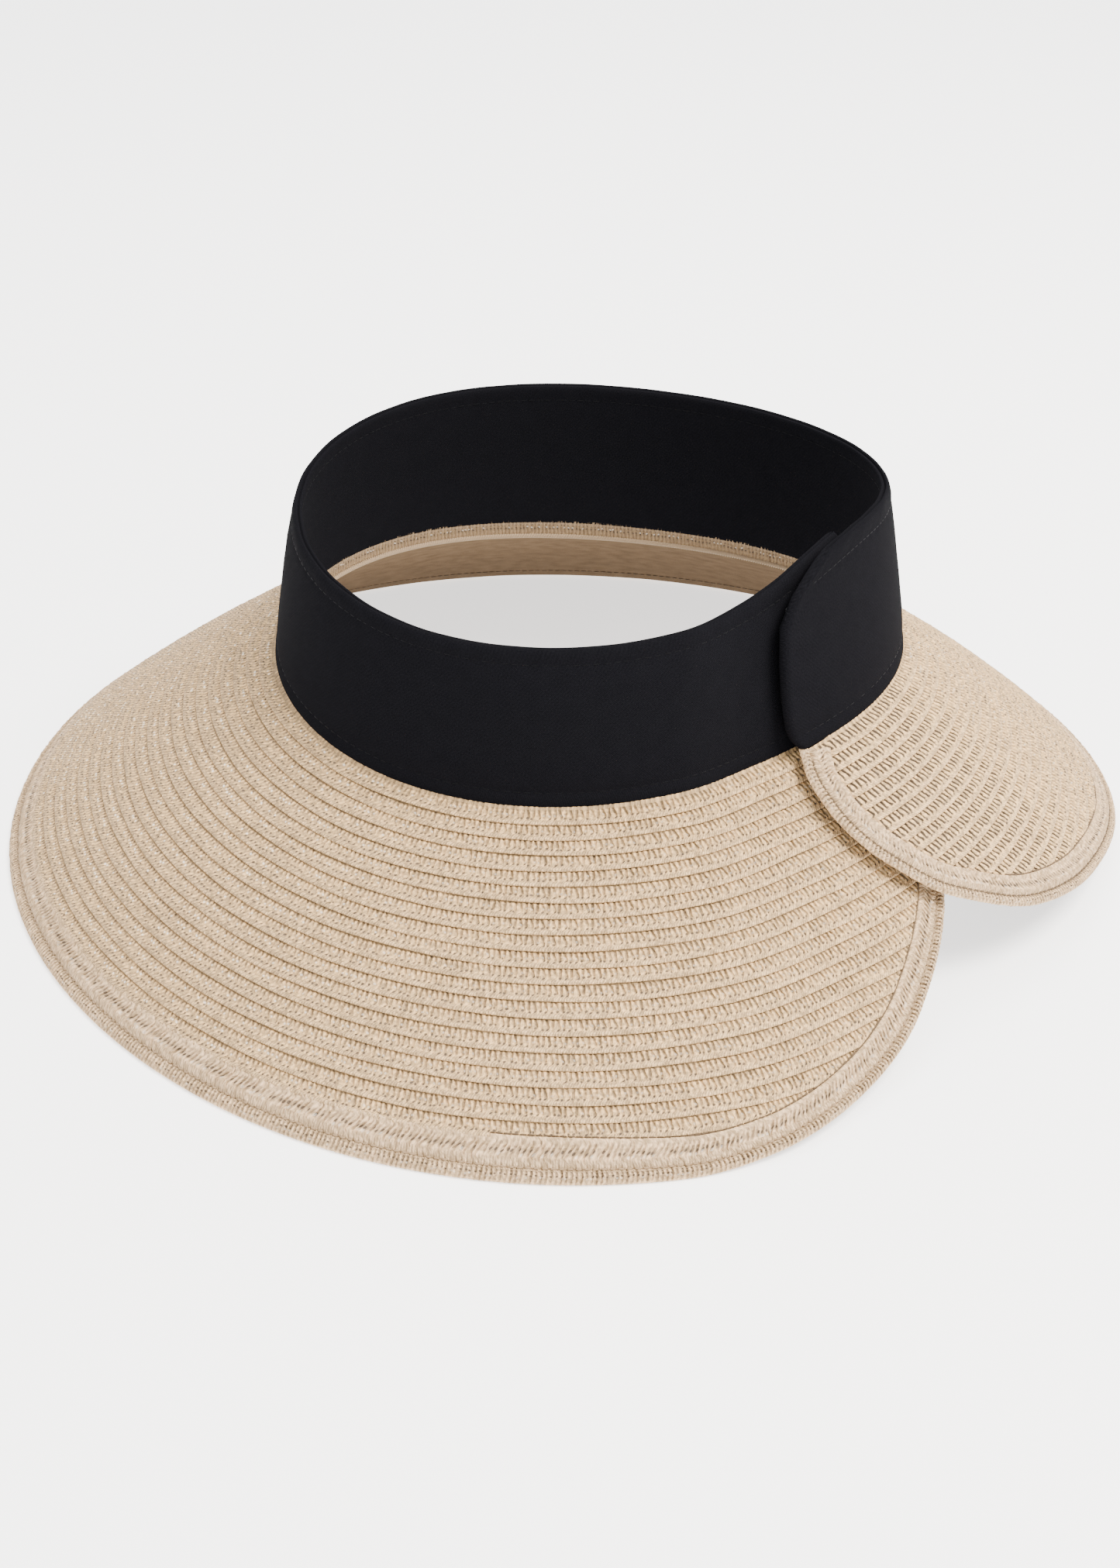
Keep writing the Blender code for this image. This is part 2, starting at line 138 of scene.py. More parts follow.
# Across one row: share of its width, height, depth of the slits between strands, and their slant.
ROW_PROFILE = (
    (0.08, 0.45, 0.0, 0.0),
    (0.18, 0.62, 0.4, -0.5),
    (0.26, 0.80, 0.9, -0.3),
    (0.36, 0.94, 1.0, -0.1),
    (0.47, 1.05, 1.0, 0.15),
    (0.58, 1.15, 0.9, 0.4),
    (0.67, 1.23, 0.6, 0.3),
    (0.76, 1.30, 0.3, 0.0),
    (0.85, 1.38, 0.2, -0.3),
    (0.93, 1.42, 0.12, -0.2),
    (0.98, 1.32, 0.10, 0.0),
    (1.00, 1.10, 0.08, 0.0),
    (0.99, 0.80, 0.0, 0.0),
)
# Across the border braid, from its inner lip outwards, in the same four values.
BORDER_PROFILE = (
    (0.03, 0.30, 0.0, 0.0),
    (0.00, 0.85, 0.1, 0.0),
    (0.03, 1.20, 0.25, 0.1),
    (0.09, 1.38, 0.45, 0.4),
    (0.17, 1.38, 0.7, 0.8),
    (0.26, 1.32, 1.0, 0.9),
    (0.35, 1.28, 1.0, 0.6),
    (0.44, 1.26, 1.0, 0.2),
    (0.53, 1.28, 1.0, -0.3),
    (0.62, 1.32, 1.0, -0.8),
    (0.71, 1.36, 0.8, -1.0),
    (0.80, 1.38, 0.6, -0.6),
    (0.88, 1.26, 0.6, -0.2),
    (0.95, 0.95, 0.5, 0.1),
    (1.00, 0.45, 0.1, 0.2),
)
# Round the edge braid, as a share of its width inwards from the rim.
EDGE_PROFILE = (
    (1.00, 0.35, 0.3, 0.0),
    (0.92, 0.85, 0.7, 0.1),
    (0.78, 1.25, 0.9, 0.3),
    (0.60, 1.48, 1.0, 0.5),
    (0.42, 1.48, 0.9, 0.4),
    (0.26, 1.30, 0.8, 0.1),
    (0.12, 0.98, 0.8, -0.2),
    (0.04, 0.55, 0.7, -0.4),
    (0.04, 0.22, 0.4, -0.4),
    (0.14, 0.00, 0.3, -0.3),
    (0.35, -0.15, 0.1, 0.0),
    (0.95, -0.35, 0.0, 0.0),
)
SLIT_DEPTH = 0.42
FLAP_SLIT_SHARE = 1.35
BORDER_SLIT_DEPTH = 0.36
EDGE_SLIT_DEPTH = 0.55
COLLAR_SLIT_DEPTH = 0.35
LUMPINESS = 0.085
# The strands stand furthest apart at the closure, and close up between these angles from it.
OPEN_ANGLE = 320.0
OPEN_UNTIL = (50.0, 125.0)
OPEN_LEAST = 0.3
# How strongly the painted shade in the slits shows on the flap: at its root, how much more
# towards its end, and from which angle on, over how many degrees.
FLAP_TONE = (0.8, 1.5)
FLAP_TONE_FROM = (-4.0, 24.0)
BORDER_TONE = 0.85
COLLAR_TONE = 0.6
# Whole strands between one row's texture coordinates and the next's, so that no two rows match.
ROW_SHIFT = 137
# Where the first row's inner edge is tucked up inside the headband's foot: u and height.
CREASE_TUCK = (-0.2, 1.0)
# Rows are cut off this far under the border braid, and the first row further in.
HIDDEN_UNDER_BORDER = 1.6
FIRST_ROW_HIDDEN = 6.0
# Along one strand: where the columns of points stand, and how far down each one is.
STRAND_COLUMNS = (
    (0.0, 1.0),
    (0.11, 0.85),
    (0.21, 0.28),
    (0.34, 0.0),
    (0.5, -0.1),
    (0.66, 0.0),
    (0.79, 0.28),
    (0.89, 0.85),
)

# Headband. Each end: where it stops halfway up, at its foot and at its top.
FLAP_BAND_END = (-52.9, -49.4, -35.0)
INNER_BAND_END = (338.5, 335.0, 335.0)
# Round the headband's cloth: distance out from the ring and height, from foot over the top to inside.
BAND_PROFILE = (
    (-0.9, 0.2),
    (0.2, -0.5),
    (1.0, -0.35),
    (1.35, 0.6),
    (1.45, 2.4),
    (1.35, 3.9),
    (1.22, 4.5),
    (1.36, 5.1),
    (1.6, 7.0),
    (1.8, 12.0),
    (1.85, 20.0),
    (1.85, 28.0),
    (1.75, 36.0),
    (1.5, 41.0),
    (1.3, 42.6),
    (1.18, 43.2),
    (1.3, 43.8),
    (1.4, 45.5),
    (1.2, 46.9),
    (0.7, 47.7),
    (0.2, 47.75),
    (-0.1, 47.2),
    (-0.3, 46.7),
    (-0.5, 47.2),
    (-0.9, 47.6),
    (-1.4, 47.3),
    (-1.7, 46.3),
    (-1.65, 44.6),
    (-1.5, 43.2),
    (-1.65, 42.0),
    (-1.75, 36.0),
    (-1.75, 26.0),
    (-1.7, 16.0),
    (-1.6, 7.0),
    (-1.6, 4.2),
    (-1.5, 2.7),
    (-1.1, 2.3),
    (-0.9, 2.9),
)
BAND_MIDDLE = -0.1
BAND_EDGE_ROUNDING = 2.2
# Lines of stitching round the headband: name, height and distance out.
BAND_SEAMS = (
    ("foot_stitches", 4.5, 1.2),
    ("top_stitches", 43.2, 1.16),
    ("inner_stitches", 43.2, -1.48),
)
BAND_STITCH = (2.1, 0.35, 0.3)
BAND_STITCH_PITCH = 2.9

# The straw turned up inside the headband's foot: share of its width, height, depth of the slits.
COLLAR_PROFILE = (
    (0.0, -1.3, 0.2),
    (0.12, -0.9, 0.5),
    (0.3, -0.2, 0.9),
    (0.5, 0.6, 1.0),
    (0.7, 1.4, 0.9),
    (0.88, 2.2, 0.5),
    (1.0, 3.2, 0.2),
)
COLLAR_OUT = -1.45

# Across the lining from its inner edge to its hem: share of its width and height under the straw.
LINING_PROFILE = (
    (0.0, -0.9),
    (0.03, -1.2),
    (0.1, -1.25),
    (0.2, -1.25),
    (0.32, -1.25),
    (0.45, -1.25),
    (0.58, -1.25),
    (0.7, -1.25),
    (0.8, -1.25),
    (0.87, -1.25),
    (0.9, -1.15),
    (0.93, -1.35),
    (0.96, -1.4),
    (0.985, -1.3),
    (1.0, -1.0),
    (1.0, -0.4),
)
LINING_START = 1.6
LINING_HEM = 3.0

# Three cords twisted into the seam piping: place from the crease, twist, and the cords' radius.
PIPING_IN = 1.2
PIPING_DOWN = 2.1
PIPING_TURN = 2.6
PIPING_TWIST = 0.42
PIPING_CORD = 0.44

# Hook-and-loop patches, on the headband at these heights.
PATCH_HEIGHTS = (10.4, 39.6)
PATCH_SIZE = (34.0, 29.0)
HOOKS = (26, 22)

# The stage. A light's place in metres, size, power and colour.
FLOOR_REACH = 6.0
FLOOR_GLOW = 1.5
WORLD_GLOW = 1.3
LIGHTS = {
    "key": ((0.75, -0.35, 1.45), 0.8, 76.0, (1.0, 0.955, 0.89)),
    "fill": ((-1.0, -1.1, 1.2), 1.5, 7.0, (1.0, 1.0, 1.0)),
    "back": ((-0.1, 0.8, 1.6), 1.4, 24.0, (1.0, 1.0, 1.0)),
}
LIGHTS_AIM = (0.0, 0.0, 0.05)

# The camera. The focal length is in the same unit as the image's height.
CAMERA_FOCAL = 3200.0
IMAGE_HEIGHT = 2023.0
CAMERA_ELEVATION = math.radians(30.648)
CAMERA_DISTANCE = 767.77
CAMERA_ACROSS = -8.633
CAMERA_RISE = -48.503
SENSOR = 36.0


def wave(angle, order, pair):
    """One cosine and sine wave round the ring."""
    turn = np.radians(angle) * order
    return pair[0] * np.cos(turn) + pair[1] * np.sin(turn)


def smooth(x):
    """0 to 1 with level ends."""
    x = np.clip(x, 0.0, 1.0)
    return x * x * (3.0 - 2.0 * x)


def crease(angle):
    """Radius and height of the crease."""
    shape = 1.0 + wave(angle, 2, OVAL_2) + wave(angle, 3, OVAL_3)
    return CREASE_RADIUS * shape, CREASE_HEIGHT + wave(angle, 2, CREASE_WAVE)


def rim_radius(angle):
    """Radius of the brim's outer rim."""
    return RIM_RADIUS + sum(wave(angle, order + 1, pair) for order, pair in enumerate(RIM_WAVES))


def full_width(angle):
    """Distance down the slope from crease to rim."""
    radius, height = crease(angle)
    return np.hypot(rim_radius(angle) - radius, height)


def row_pitch(angle):
    """Spacing of the rows of braid."""
    return (full_width(angle) - BORDER_TOTAL - ROW_START) / ROW_COUNT


def dip_at(angle):
    """How far the inner end dips under the flap."""
    return DIP * smooth((angle - DIP_START) / (DIP_FULL - DIP_START))


def place(x, y, z):
    """Points of the row frame, in metres."""
    return np.stack([RING[0] + x, RING[1] + y, z], -1) * MM


def brim(angle, u, n):
    """Points of the brim."""
    radius, height = crease(angle)
    reach = rim_radius(angle) - radius
    slope = np.arctan2(height, reach)
    share = u / np.hypot(reach, height)
    above = n + 4.0 * BRIM_BULGE * share * (1.0 - share)
    dip = dip_at(angle)
    out = radius + reach * share + above * np.sin(slope) - dip
    turn = np.radians(angle)
    z = height * (1.0 - share) + above * np.cos(slope) - dip * DIP_DOWN
    return place(out * np.cos(turn), out * np.sin(turn), z)


def band(angle, up, out):
    """Points of the headband."""
    radius, height = crease(angle)
    away = (angle - CLOSURE_ANGLE + 180.0) % 360.0 - 180.0
    closure = np.exp(-((away / CLOSURE_SPREAD) ** 2))
    scale = TOP_SCALE * (1.0 - CLOSURE_LEAN * closure)
    top = CREASE_HEIGHT + BAND_HEIGHT + wave(angle, 1, TOP_TILT) + wave(angle, 2, TOP_WAVE)
    top = top + CLOSURE_RAISE * closure
    turn = np.radians(angle)
    share = up / BAND_HEIGHT
    dip = dip_at(angle)
    x = radius * np.cos(turn) * (1.0 - share) + (radius * scale * np.cos(turn) + TOP_SHIFT[0]) * share
    y = radius * np.sin(turn) * (1.0 - share) + (radius * scale * np.sin(turn) + TOP_SHIFT[1]) * share
    x = x + (out - dip) * np.cos(turn)
    y = y + (out - dip) * np.sin(turn)
    return place(x, y, height * (1.0 - share) + top * share - dip * DIP_DOWN)


def to_pattern(angle, u):
    """Flat-pattern coordinates of brim points, on the cone cut open."""
    radius = CREASE_RADIUS / math.cos(PATTERN_SLOPE) + u
    turn = np.radians(angle) * math.cos(PATTERN_SLOPE)
    return np.stack([radius * np.cos(turn), radius * np.sin(turn)], -1)


def from_pattern(points):
    """Angle and u of flat-pattern points."""
    turn = np.degrees(np.arctan2(points[..., 1], points[..., 0]))
    turn = np.where(turn < -60.0, turn + 360.0, turn)
    u = np.hypot(points[..., 0], points[..., 1]) - CREASE_RADIUS / math.cos(PATTERN_SLOPE)
    return turn / math.cos(PATTERN_SLOPE), u


def spline(points, per_span):
    """A smooth line through the points, as an array."""
    p = np.array(points, float)
    padded = np.vstack([2 * p[0] - p[1], p, 2 * p[-1] - p[-2]])
    t = (np.arange(per_span) / per_span)[:, None]
    made = []
    for a, b, c, d in zip(padded, padded[1:], padded[2:], padded[3:]):
        made.append(b + 0.5 * t * (c - a + t * (2 * a - 5 * b + 4 * c - d + t * (3 * (b - c) + d - a))))
    return np.vstack(made + [p[-1:]])


def named(name, flap):
    """The name of a piece or node on the main strip or on the flap."""
    return "flap_" + name if flap else name


def way_round(flap):
    """Which way a piece runs round the ring from the seam."""
    return -1.0 if flap else 1.0


def profile_columns(profile):
    """A profile's values, one array for each kind."""
    return np.array(profile).T


def run_length(points):
    """Length along a line of points, at each of them."""
    return np.concatenate([[0.0], np.cumsum(np.linalg.norm(np.diff(points, axis=0), axis=1))])


def uv_grid(along, across):
    """Coordinates for a grid of points, from a value for each column and one for each place across."""
    return np.stack(np.broadcast_arrays(along[:, None], across[None, :]), -1)


class Outline:
    """The edge of the whole strip in the flat pattern, from the flap's tip to the inner end's tip."""

    def __init__(self):
        long_edge = [(a, self.root_width(a)) for a in (ROOT_ANGLE, -1.0, 6.0, 13.0, 20.0)]
        long_edge += [(a, float(full_width(a))) for a in np.linspace(32.0, TAPER_START, 21)]
        line = spline(list(FLAP_OUTLINE) + long_edge + list(INNER_END_OUTLINE), 24)
        flat = to_pattern(line[:, 0], line[:, 1])
        length = run_length(flat)
        self.s = np.arange(0.0, length[-1], 0.5)
        self.flat = self.along(length, flat, self.s)
        self.angle = np.interp(self.s, length, line[:, 0])
        ahead = self.along(self.s, self.flat, self.s + 3.0)
        behind = self.along(self.s, self.flat, self.s - 3.0)
        tangent = ahead - behind
        tangent /= np.linalg.norm(tangent, axis=1)[:, None]
        self.inward = np.stack([-tangent[:, 1], tangent[:, 0]], -1)
        self.seam = float(np.interp(SEAM, self.angle[self.s < 500.0], self.s[self.s < 500.0]))
        self.tree = kdtree.KDTree(len(self.s))
        for i, (x, y) in enumerate(self.flat):
            self.tree.insert((x, y, 0.0), i)
        self.tree.balance()

    @staticmethod
    def root_width(angle):
        left = max(0.0, 1.0 - (angle - ROOT_ANGLE) / (ROOT_TAPER_START - ROOT_ANGLE))
        return float(full_width(angle) * (1.0 - (1.0 - ROOT_WIDTH_SHARE) * left**ROOT_CURVE))

    @staticmethod
    def along(s, values, at):
        return np.stack([np.interp(at, s, values[:, k]) for k in range(values.shape[1])], -1)

    def total(self, s):
        """Width of border and edge braids together."""
        angle = np.interp(s, self.s, self.angle)
        near_root = smooth((32.0 - angle) / 40.0)
        near_end = smooth((angle - TAPER_START + 12.0) / 24.0)
        return BORDER_TOTAL + (BORDER_TOTAL_AT_ENDS - BORDER_TOTAL) * np.maximum(near_root, near_end)

    def inset(self, s, distance):
        """Angle and u of points this far inside the edge."""
        flat = self.along(self.s, self.flat, s) + self.along(self.s, self.inward, s) * distance[..., None]
        return from_pattern(flat)

    def depth(self, angle, u):
        """How far inside the edge brim points lie, and the edge's length there."""
        flat = to_pattern(angle, u)
        found = np.zeros(flat.shape[:-1])
        at = np.zeros(flat.shape[:-1])
        for index in np.ndindex(found.shape):
            x, y = flat[index]
            _, i, _ = self.tree.find((x, y, 0.0))
            found[index] = (flat[index] - self.flat[i]) @ self.inward[i]
            at[index] = self.s[i]
        return found, at


OUTLINE = Outline()


# Meshes.


def grid_quads(points, first=0):
    """The quads of a grid of points, numbered from first."""
    columns, across = points.shape[:2]
    index = np.arange(columns * across).reshape(columns, across) + first
    corners = [index[:-1, :-1], index[:-1, 1:], index[1:, 1:], index[1:, :-1]]
    return np.stack(corners, -1).reshape(-1, 4)


def grid(name, points, uv, material, keep=None, tone=None):
    """A sheet of quads through a grid of points, with its braid or cloth coordinates."""
    quads = grid_quads(points)
    if keep is not None:
        quads = quads[keep.reshape(-1)]
    used, quads = np.unique(quads, return_inverse=True)
    return mesh_object(
        name,
        points.reshape(-1, 3)[used],
        quads.reshape(-1, 4),
        uv.reshape(-1, 2)[used],
        material,
        None if tone is None else tone.reshape(-1)[used],
    )


def joined_grids(name, grids, maps, material):
    """Several grids of points as one object."""
    points, quads, uvs, first = [], [], [], 0
    for part, uv in zip(grids, maps):
        quads.append(grid_quads(part, first))
        points.append(part.reshape(-1, 3))
        uvs.append(uv.reshape(-1, 2))
        first += part.shape[0] * part.shape[1]
    return mesh_object(name, np.vstack(points), np.vstack(quads), np.vstack(uvs), material)


def mesh_object(name, points, quads, uv, material, tone=None):
    """An object from arrays."""
    mesh = bpy.data.meshes.new(name)
    mesh.vertices.add(len(points))
    mesh.vertices.foreach_set("co", np.ascontiguousarray(points, np.float32).reshape(-1))
    mesh.loops.add(quads.size)
    mesh.loops.foreach_set("vertex_index", quads.reshape(-1).astype(np.int32))
    mesh.polygons.add(len(quads))
    mesh.polygons.foreach_set("loop_start", (np.arange(len(quads)) * 4).astype(np.int32))
    mesh.update(calc_edges=True)
    mesh.polygons.foreach_set("use_smooth", np.ones(len(quads), bool))
    layer = mesh.uv_layers.new(name="cloth")
    layer.data.foreach_set("uv", uv[quads.reshape(-1)].astype(np.float32).reshape(-1))
    if tone is not None:
        mesh.attributes.new("tone", "FLOAT", "POINT").data.foreach_set("value", tone.astype(np.float32))
    mesh.materials.append(material)
    obj = bpy.data.objects.new(name, mesh)
    bpy.context.scene.collection.objects.link(obj)
    return obj


def attach(obj, flap, *nodes, slot=None):
    """Fastens a main-strip piece to the visor's body, or bakes a flap piece's transform into it, and hides
    the CAD parts that it stands for.
    """
    if flap:
        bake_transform(obj)
    else:
        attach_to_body(obj, "visor")
    real = [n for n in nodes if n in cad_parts]
    if real:
        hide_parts(*real)
    return obj


def strand_columns(length, pitch):
    """Places along a braid where columns of points stand, their strand number, and how deep each is."""
    count = int(length / pitch)
    strands = np.arange(count + 1)
    share, depth = profile_columns(STRAND_COLUMNS)
    number = (strands[:, None] + share[None, :]).reshape(-1)
    deep = np.tile(depth, count + 1)
    kept = number * pitch <= length
    return number[kept], deep[kept]


def braid_heights(number, deep, profile, slit_depth, wobble):
    """Heights over the grid of one braid: its profile, with slits of varied depth between strands."""
    _, base, cut, _ = profile_columns(profile)
    strength = np.interp(number, np.arange(len(wobble)), wobble)
    lumps = RANDOM.normal(0.0, LUMPINESS, (2 * int(number[-1]) + 4, len(profile)))
    at = 2.0 * number
    lumps = np.stack([np.interp(at, np.arange(len(lumps)), column) for column in lumps.T], -1)
    lumps = lumps * smooth(number / 3.0)[:, None] * (cut > 0.0)[None, :]
    return base[None, :] + lumps - slit_depth * deep[:, None] * cut[None, :] * strength[:, None]


def slants(number, profile, amount, alternate):
    """How far each point shifts along the braid, so that strands slant, every other one less."""
    lean = profile_columns(profile)[3]
    strands = int(number[-1]) + 2
    sign = np.where(np.arange(strands) % 2 == 0, 1.0 + alternate, 1.0 - alternate)
    sign = sign + RANDOM.normal(0.0, 0.25, strands)
    return np.interp(number, np.arange(strands), sign)[:, None] * lean[None, :] * amount


def openness(angle):
    """How far a row's strands stand apart: wide by the closure, nearly shut round the other side."""
    from_closure = np.abs((angle - OPEN_ANGLE + 180.0) % 360.0 - 180.0)
    near, far = OPEN_UNTIL
    return OPEN_LEAST + (1.0 - OPEN_LEAST) * smooth((far - from_closure) / (far - near))


def braid_row(index, flap, material):
    """One row of sewn braid on the main strip or on the flap."""
    last = -51.0 if flap else INNER_BAND_END[1] + 1.0
    angles = np.arange(SEAM, last, way_round(flap) * ROW_STEP)
    inner = ROW_START + index * row_pitch(angles)
    line = brim(angles, inner + 0.6 * row_pitch(angles), 0.0 * angles) / MM
    length = run_length(line)
    pitch = FLAP_STRAND if flap else STRAND
    number, deep = strand_columns(length[-1], pitch)
    wobble = RANDOM.uniform(0.6, 1.2, int(number[-1]) + 2)
    shift = slants(number, ROW_PROFILE, -0.5 if flap else 0.5, 1.2)
    shift = shift * smooth(number / 3.0)[:, None]
    s = number[:, None] * pitch + shift
    angle = np.interp(s, length, angles)
    v = profile_columns(ROW_PROFILE)[0]
    width = row_pitch(angle) + ROW_OVERLAP
    phase = RANDOM.uniform(0.0, 6.0, 3)
    drift = 0.12 * np.sin(s / 23.0 + phase[0]) + 0.08 * np.sin(s / 7.1 + phase[1])
    u = ROW_START + index * row_pitch(angle) + v[None, :] * width + drift * smooth(s / 30.0)
    wide = openness(angle)
    slit_depth = SLIT_DEPTH * wide * (FLAP_SLIT_SHARE if flap else 1.0)
    n = braid_heights(number, deep, ROW_PROFILE, slit_depth, wobble)
    n = n + 0.06 * np.sin(s / 11.0 + phase[2]) * smooth(s / 30.0)
    keep = np.ones((len(number) - 1, len(v) - 1), bool)
    near = np.where((angle.max(1) < 34.0) | (angle.max(1) > TAPER_START - 16.0))[0]
    if len(near):
        depth, at = OUTLINE.depth(angle[near], u[near])
        over = OUTLINE.total(at) - depth
        n[near] = np.minimum(n[near], 2.2 - 2.0 * smooth((over + 1.6) / 2.4))
        hidden = np.zeros(n.shape, bool)
        hidden[near] = over > (FIRST_ROW_HIDDEN if index == 0 else HIDDEN_UNDER_BORDER)
        keep &= ~(hidden[:-1, :-1] & hidden[1:, :-1] & hidden[:-1, 1:] & hidden[1:, 1:])
    if not keep.any():
        return None
    if index == 0:
        u[:, 0] = CREASE_TUCK[0]
        n[:, 0] = CREASE_TUCK[1]
    uv = uv_grid(number + ROW_SHIFT * index, v)
    tone = wide
    if flap:
        least, more = FLAP_TONE
        start, reach = FLAP_TONE_FROM
        tone = wide * (more * smooth((start - angle) / reach) + least)
    name = named(f"braid_row_{index + 1:02d}", flap)
    obj = grid(name, brim(angle, u, n), uv, material, keep, tone)
    node = f"flap_row_{index + 1:02d}" if flap else f"straw_row_{index + 1:02d}"
    return attach(obj, flap, node, slot="straw")


def edge_run(flap):
    """Start and length of the outline from the seam to one tip."""
    start = OUTLINE.seam
    return (start, start) if flap else (start, OUTLINE.s[-1] - start)


def outline_braid(name, flap, profile, pitch, slit_depth, reach, slant, material):
    """A braid that follows the outline. reach gives, for s and share, the distance in from the edge."""
    start, length = edge_run(flap)
    number, deep = strand_columns(length, pitch)
    wobble = RANDOM.uniform(0.4, 1.4, int(number[-1]) + 2)
    shift = slants(number, profile, slant, 0.25) * smooth(number / 3.0)[:, None]
    s = start + way_round(flap) * (number[:, None] * pitch + shift)
    s = np.clip(s, 0.0, OUTLINE.s[-1])
    v = profile_columns(profile)[0]
    angle, u = OUTLINE.inset(s, reach(s, v[None, :]))
    n = braid_heights(number, deep, profile, slit_depth, wobble)
    n = n * (0.3 + 0.7 * smooth((u + 0.5) / 3.5))
    uv = uv_grid(number, v)
    tone = np.full(n.shape, BORDER_TONE)
    obj = grid(named(name, flap), brim(angle, u, n), uv, material, None, tone)
    return attach(obj, flap, named(name + "_braid", flap), slot="border_straw")


def border_reach(s, share):
    """From the border braid's inner lip out to the edge braid."""
    total = OUTLINE.total(s)
    return total * (1.0 - (1.0 - EDGE_SHARE) * share)


def edge_reach(s, share):
    """From the rim in to the border braid."""
    return OUTLINE.total(s) * EDGE_SHARE * share + 0.1


# Materials.


class Paint:
    """A material's node tree, with short calls for the nodes used most."""

    def __init__(self, name):
        self.material = bpy.data.materials.new(name)
        self.material.use_nodes = True
        self.tree = self.material.node_tree
        self.shader = self.tree.nodes["Principled BSDF"]

    def add(self, kind, *inputs, out=0, **settings):
        made = self.tree.nodes.new(kind)
        for key, value in settings.items():
            setattr(made, key, value)
        for socket, value in zip(made.inputs, inputs):
            self.put(socket, value)
        return made.outputs[out]

    def put(self, socket, value):
        if isinstance(value, bpy.types.NodeSocket):
            self.tree.links.new(value, socket)
        elif value is not None:
            socket.default_value = value

    def math(self, operation, *values):
        return self.add("ShaderNodeMath", *values, operation=operation)

    def step(self, value, low, high):
        """0 below low and 1 above high, or the other way round if low is above high."""
        made = self.tree.nodes.new("ShaderNodeMapRange")
        made.interpolation_type = "SMOOTHSTEP"
        given = (value, high, low, 1.0, 0.0) if low > high else (value, low, high, 0.0, 1.0)
        for socket, setting in zip(made.inputs, given):
            self.put(socket, setting)
        return made.outputs[0]

    def mix(self, share, one, two):
        made = self.tree.nodes.new("ShaderNodeMix")
        made.data_type = "RGBA"
        self.put(made.inputs[0], share)
        self.put(made.inputs[6], one)
        self.put(made.inputs[7], two)
        return made.outputs[2]

    def noise(self, vector, scale, detail=3.0):
        made = self.tree.nodes.new("ShaderNodeTexNoise")
        self.put(made.inputs["Vector"], vector)
        made.inputs["Scale"].default_value = scale
        made.inputs["Detail"].default_value = detail
        return made.outputs["Fac"]

    def scaled(self, vector, x, y, z=1.0):
        return self.add("ShaderNodeVectorMath", vector, (x, y, z), operation="MULTIPLY")

    def cloth(self):
        """The piece's own coordinates, as a vector and its two parts."""
        uv = self.add("ShaderNodeUVMap", uv_map="cloth")
        parts = self.tree.nodes.new("ShaderNodeSeparateXYZ")
        self.put(parts.inputs[0], uv)
        return uv, parts.outputs[0], parts.outputs[1]

    def band(self, value, limits, rise, fall):
        """1 between the limits, with soft ends."""
        low, high = limits
        past_low = self.step(value, low, low + rise)
        return self.math("MULTIPLY", past_low, self.step(value, high, high - fall))

    def lines(self, value, wide, narrow):
        """1 in a line at each whole number, falling to 0 between narrow and wide of it."""
        off = self.math("SUBTRACT", self.math("FRACT", self.math("ADD", value, 0.5)), 0.5)
        return self.step(self.math("ABSOLUTE", off), wide, narrow)

    def spots(self, x, y, row, seed, share):
        """A round spot at about one place in each strand, at a height across the braid."""
        strand = self.math("ADD", self.math("FLOOR", self.math("ADD", x, 0.5)), seed)
        chance = self.tree.nodes.new("ShaderNodeTexWhiteNoise")
        chance.noise_dimensions = "1D"
        self.put(chance.inputs["W"], strand)
        parts = self.tree.nodes.new("ShaderNodeSeparateXYZ")
        self.put(parts.inputs[0], chance.outputs["Color"])
        across = self.math("SUBTRACT", self.math("FRACT", self.math("ADD", x, 0.5)), 0.5)
        across = self.math("SUBTRACT", across, self.math("MULTIPLY_ADD", parts.outputs[0], 0.5, -0.25))
        up = self.math("SUBTRACT", y, self.math("MULTIPLY_ADD", parts.outputs[1], 0.1, row - 0.05))
        across = self.math("POWER", self.math("MULTIPLY", across, 4.5), 2.0)
        up = self.math("POWER", self.math("MULTIPLY", up, 17.0), 2.0)
        away = self.math("ADD", across, up)
        there = self.math("GREATER_THAN", parts.outputs[2], share)
        return self.math("MULTIPLY", self.step(away, 1.5, 0.5), there)

    def bump(self, height, strength, distance):
        made = self.tree.nodes.new("ShaderNodeBump")
        made.inputs["Strength"].default_value = strength
        made.inputs["Distance"].default_value = distance
        self.put(made.inputs["Height"], height)
        self.put(self.shader.inputs["Normal"], made.outputs[0])

    def finish(self, colour, roughness, specular, sheen=0.0, sheen_tint=(1.0, 1.0, 1.0, 1.0)):
        self.put(self.shader.inputs["Base Color"], colour)
        self.put(self.shader.inputs["Roughness"], roughness)
        self.shader.inputs["Specular IOR Level"].default_value = specular
        self.shader.inputs["Sheen Weight"].default_value = sheen
        self.shader.inputs["Sheen Roughness"].default_value = 0.5
        self.shader.inputs["Sheen Tint"].default_value = sheen_tint
        return self.material


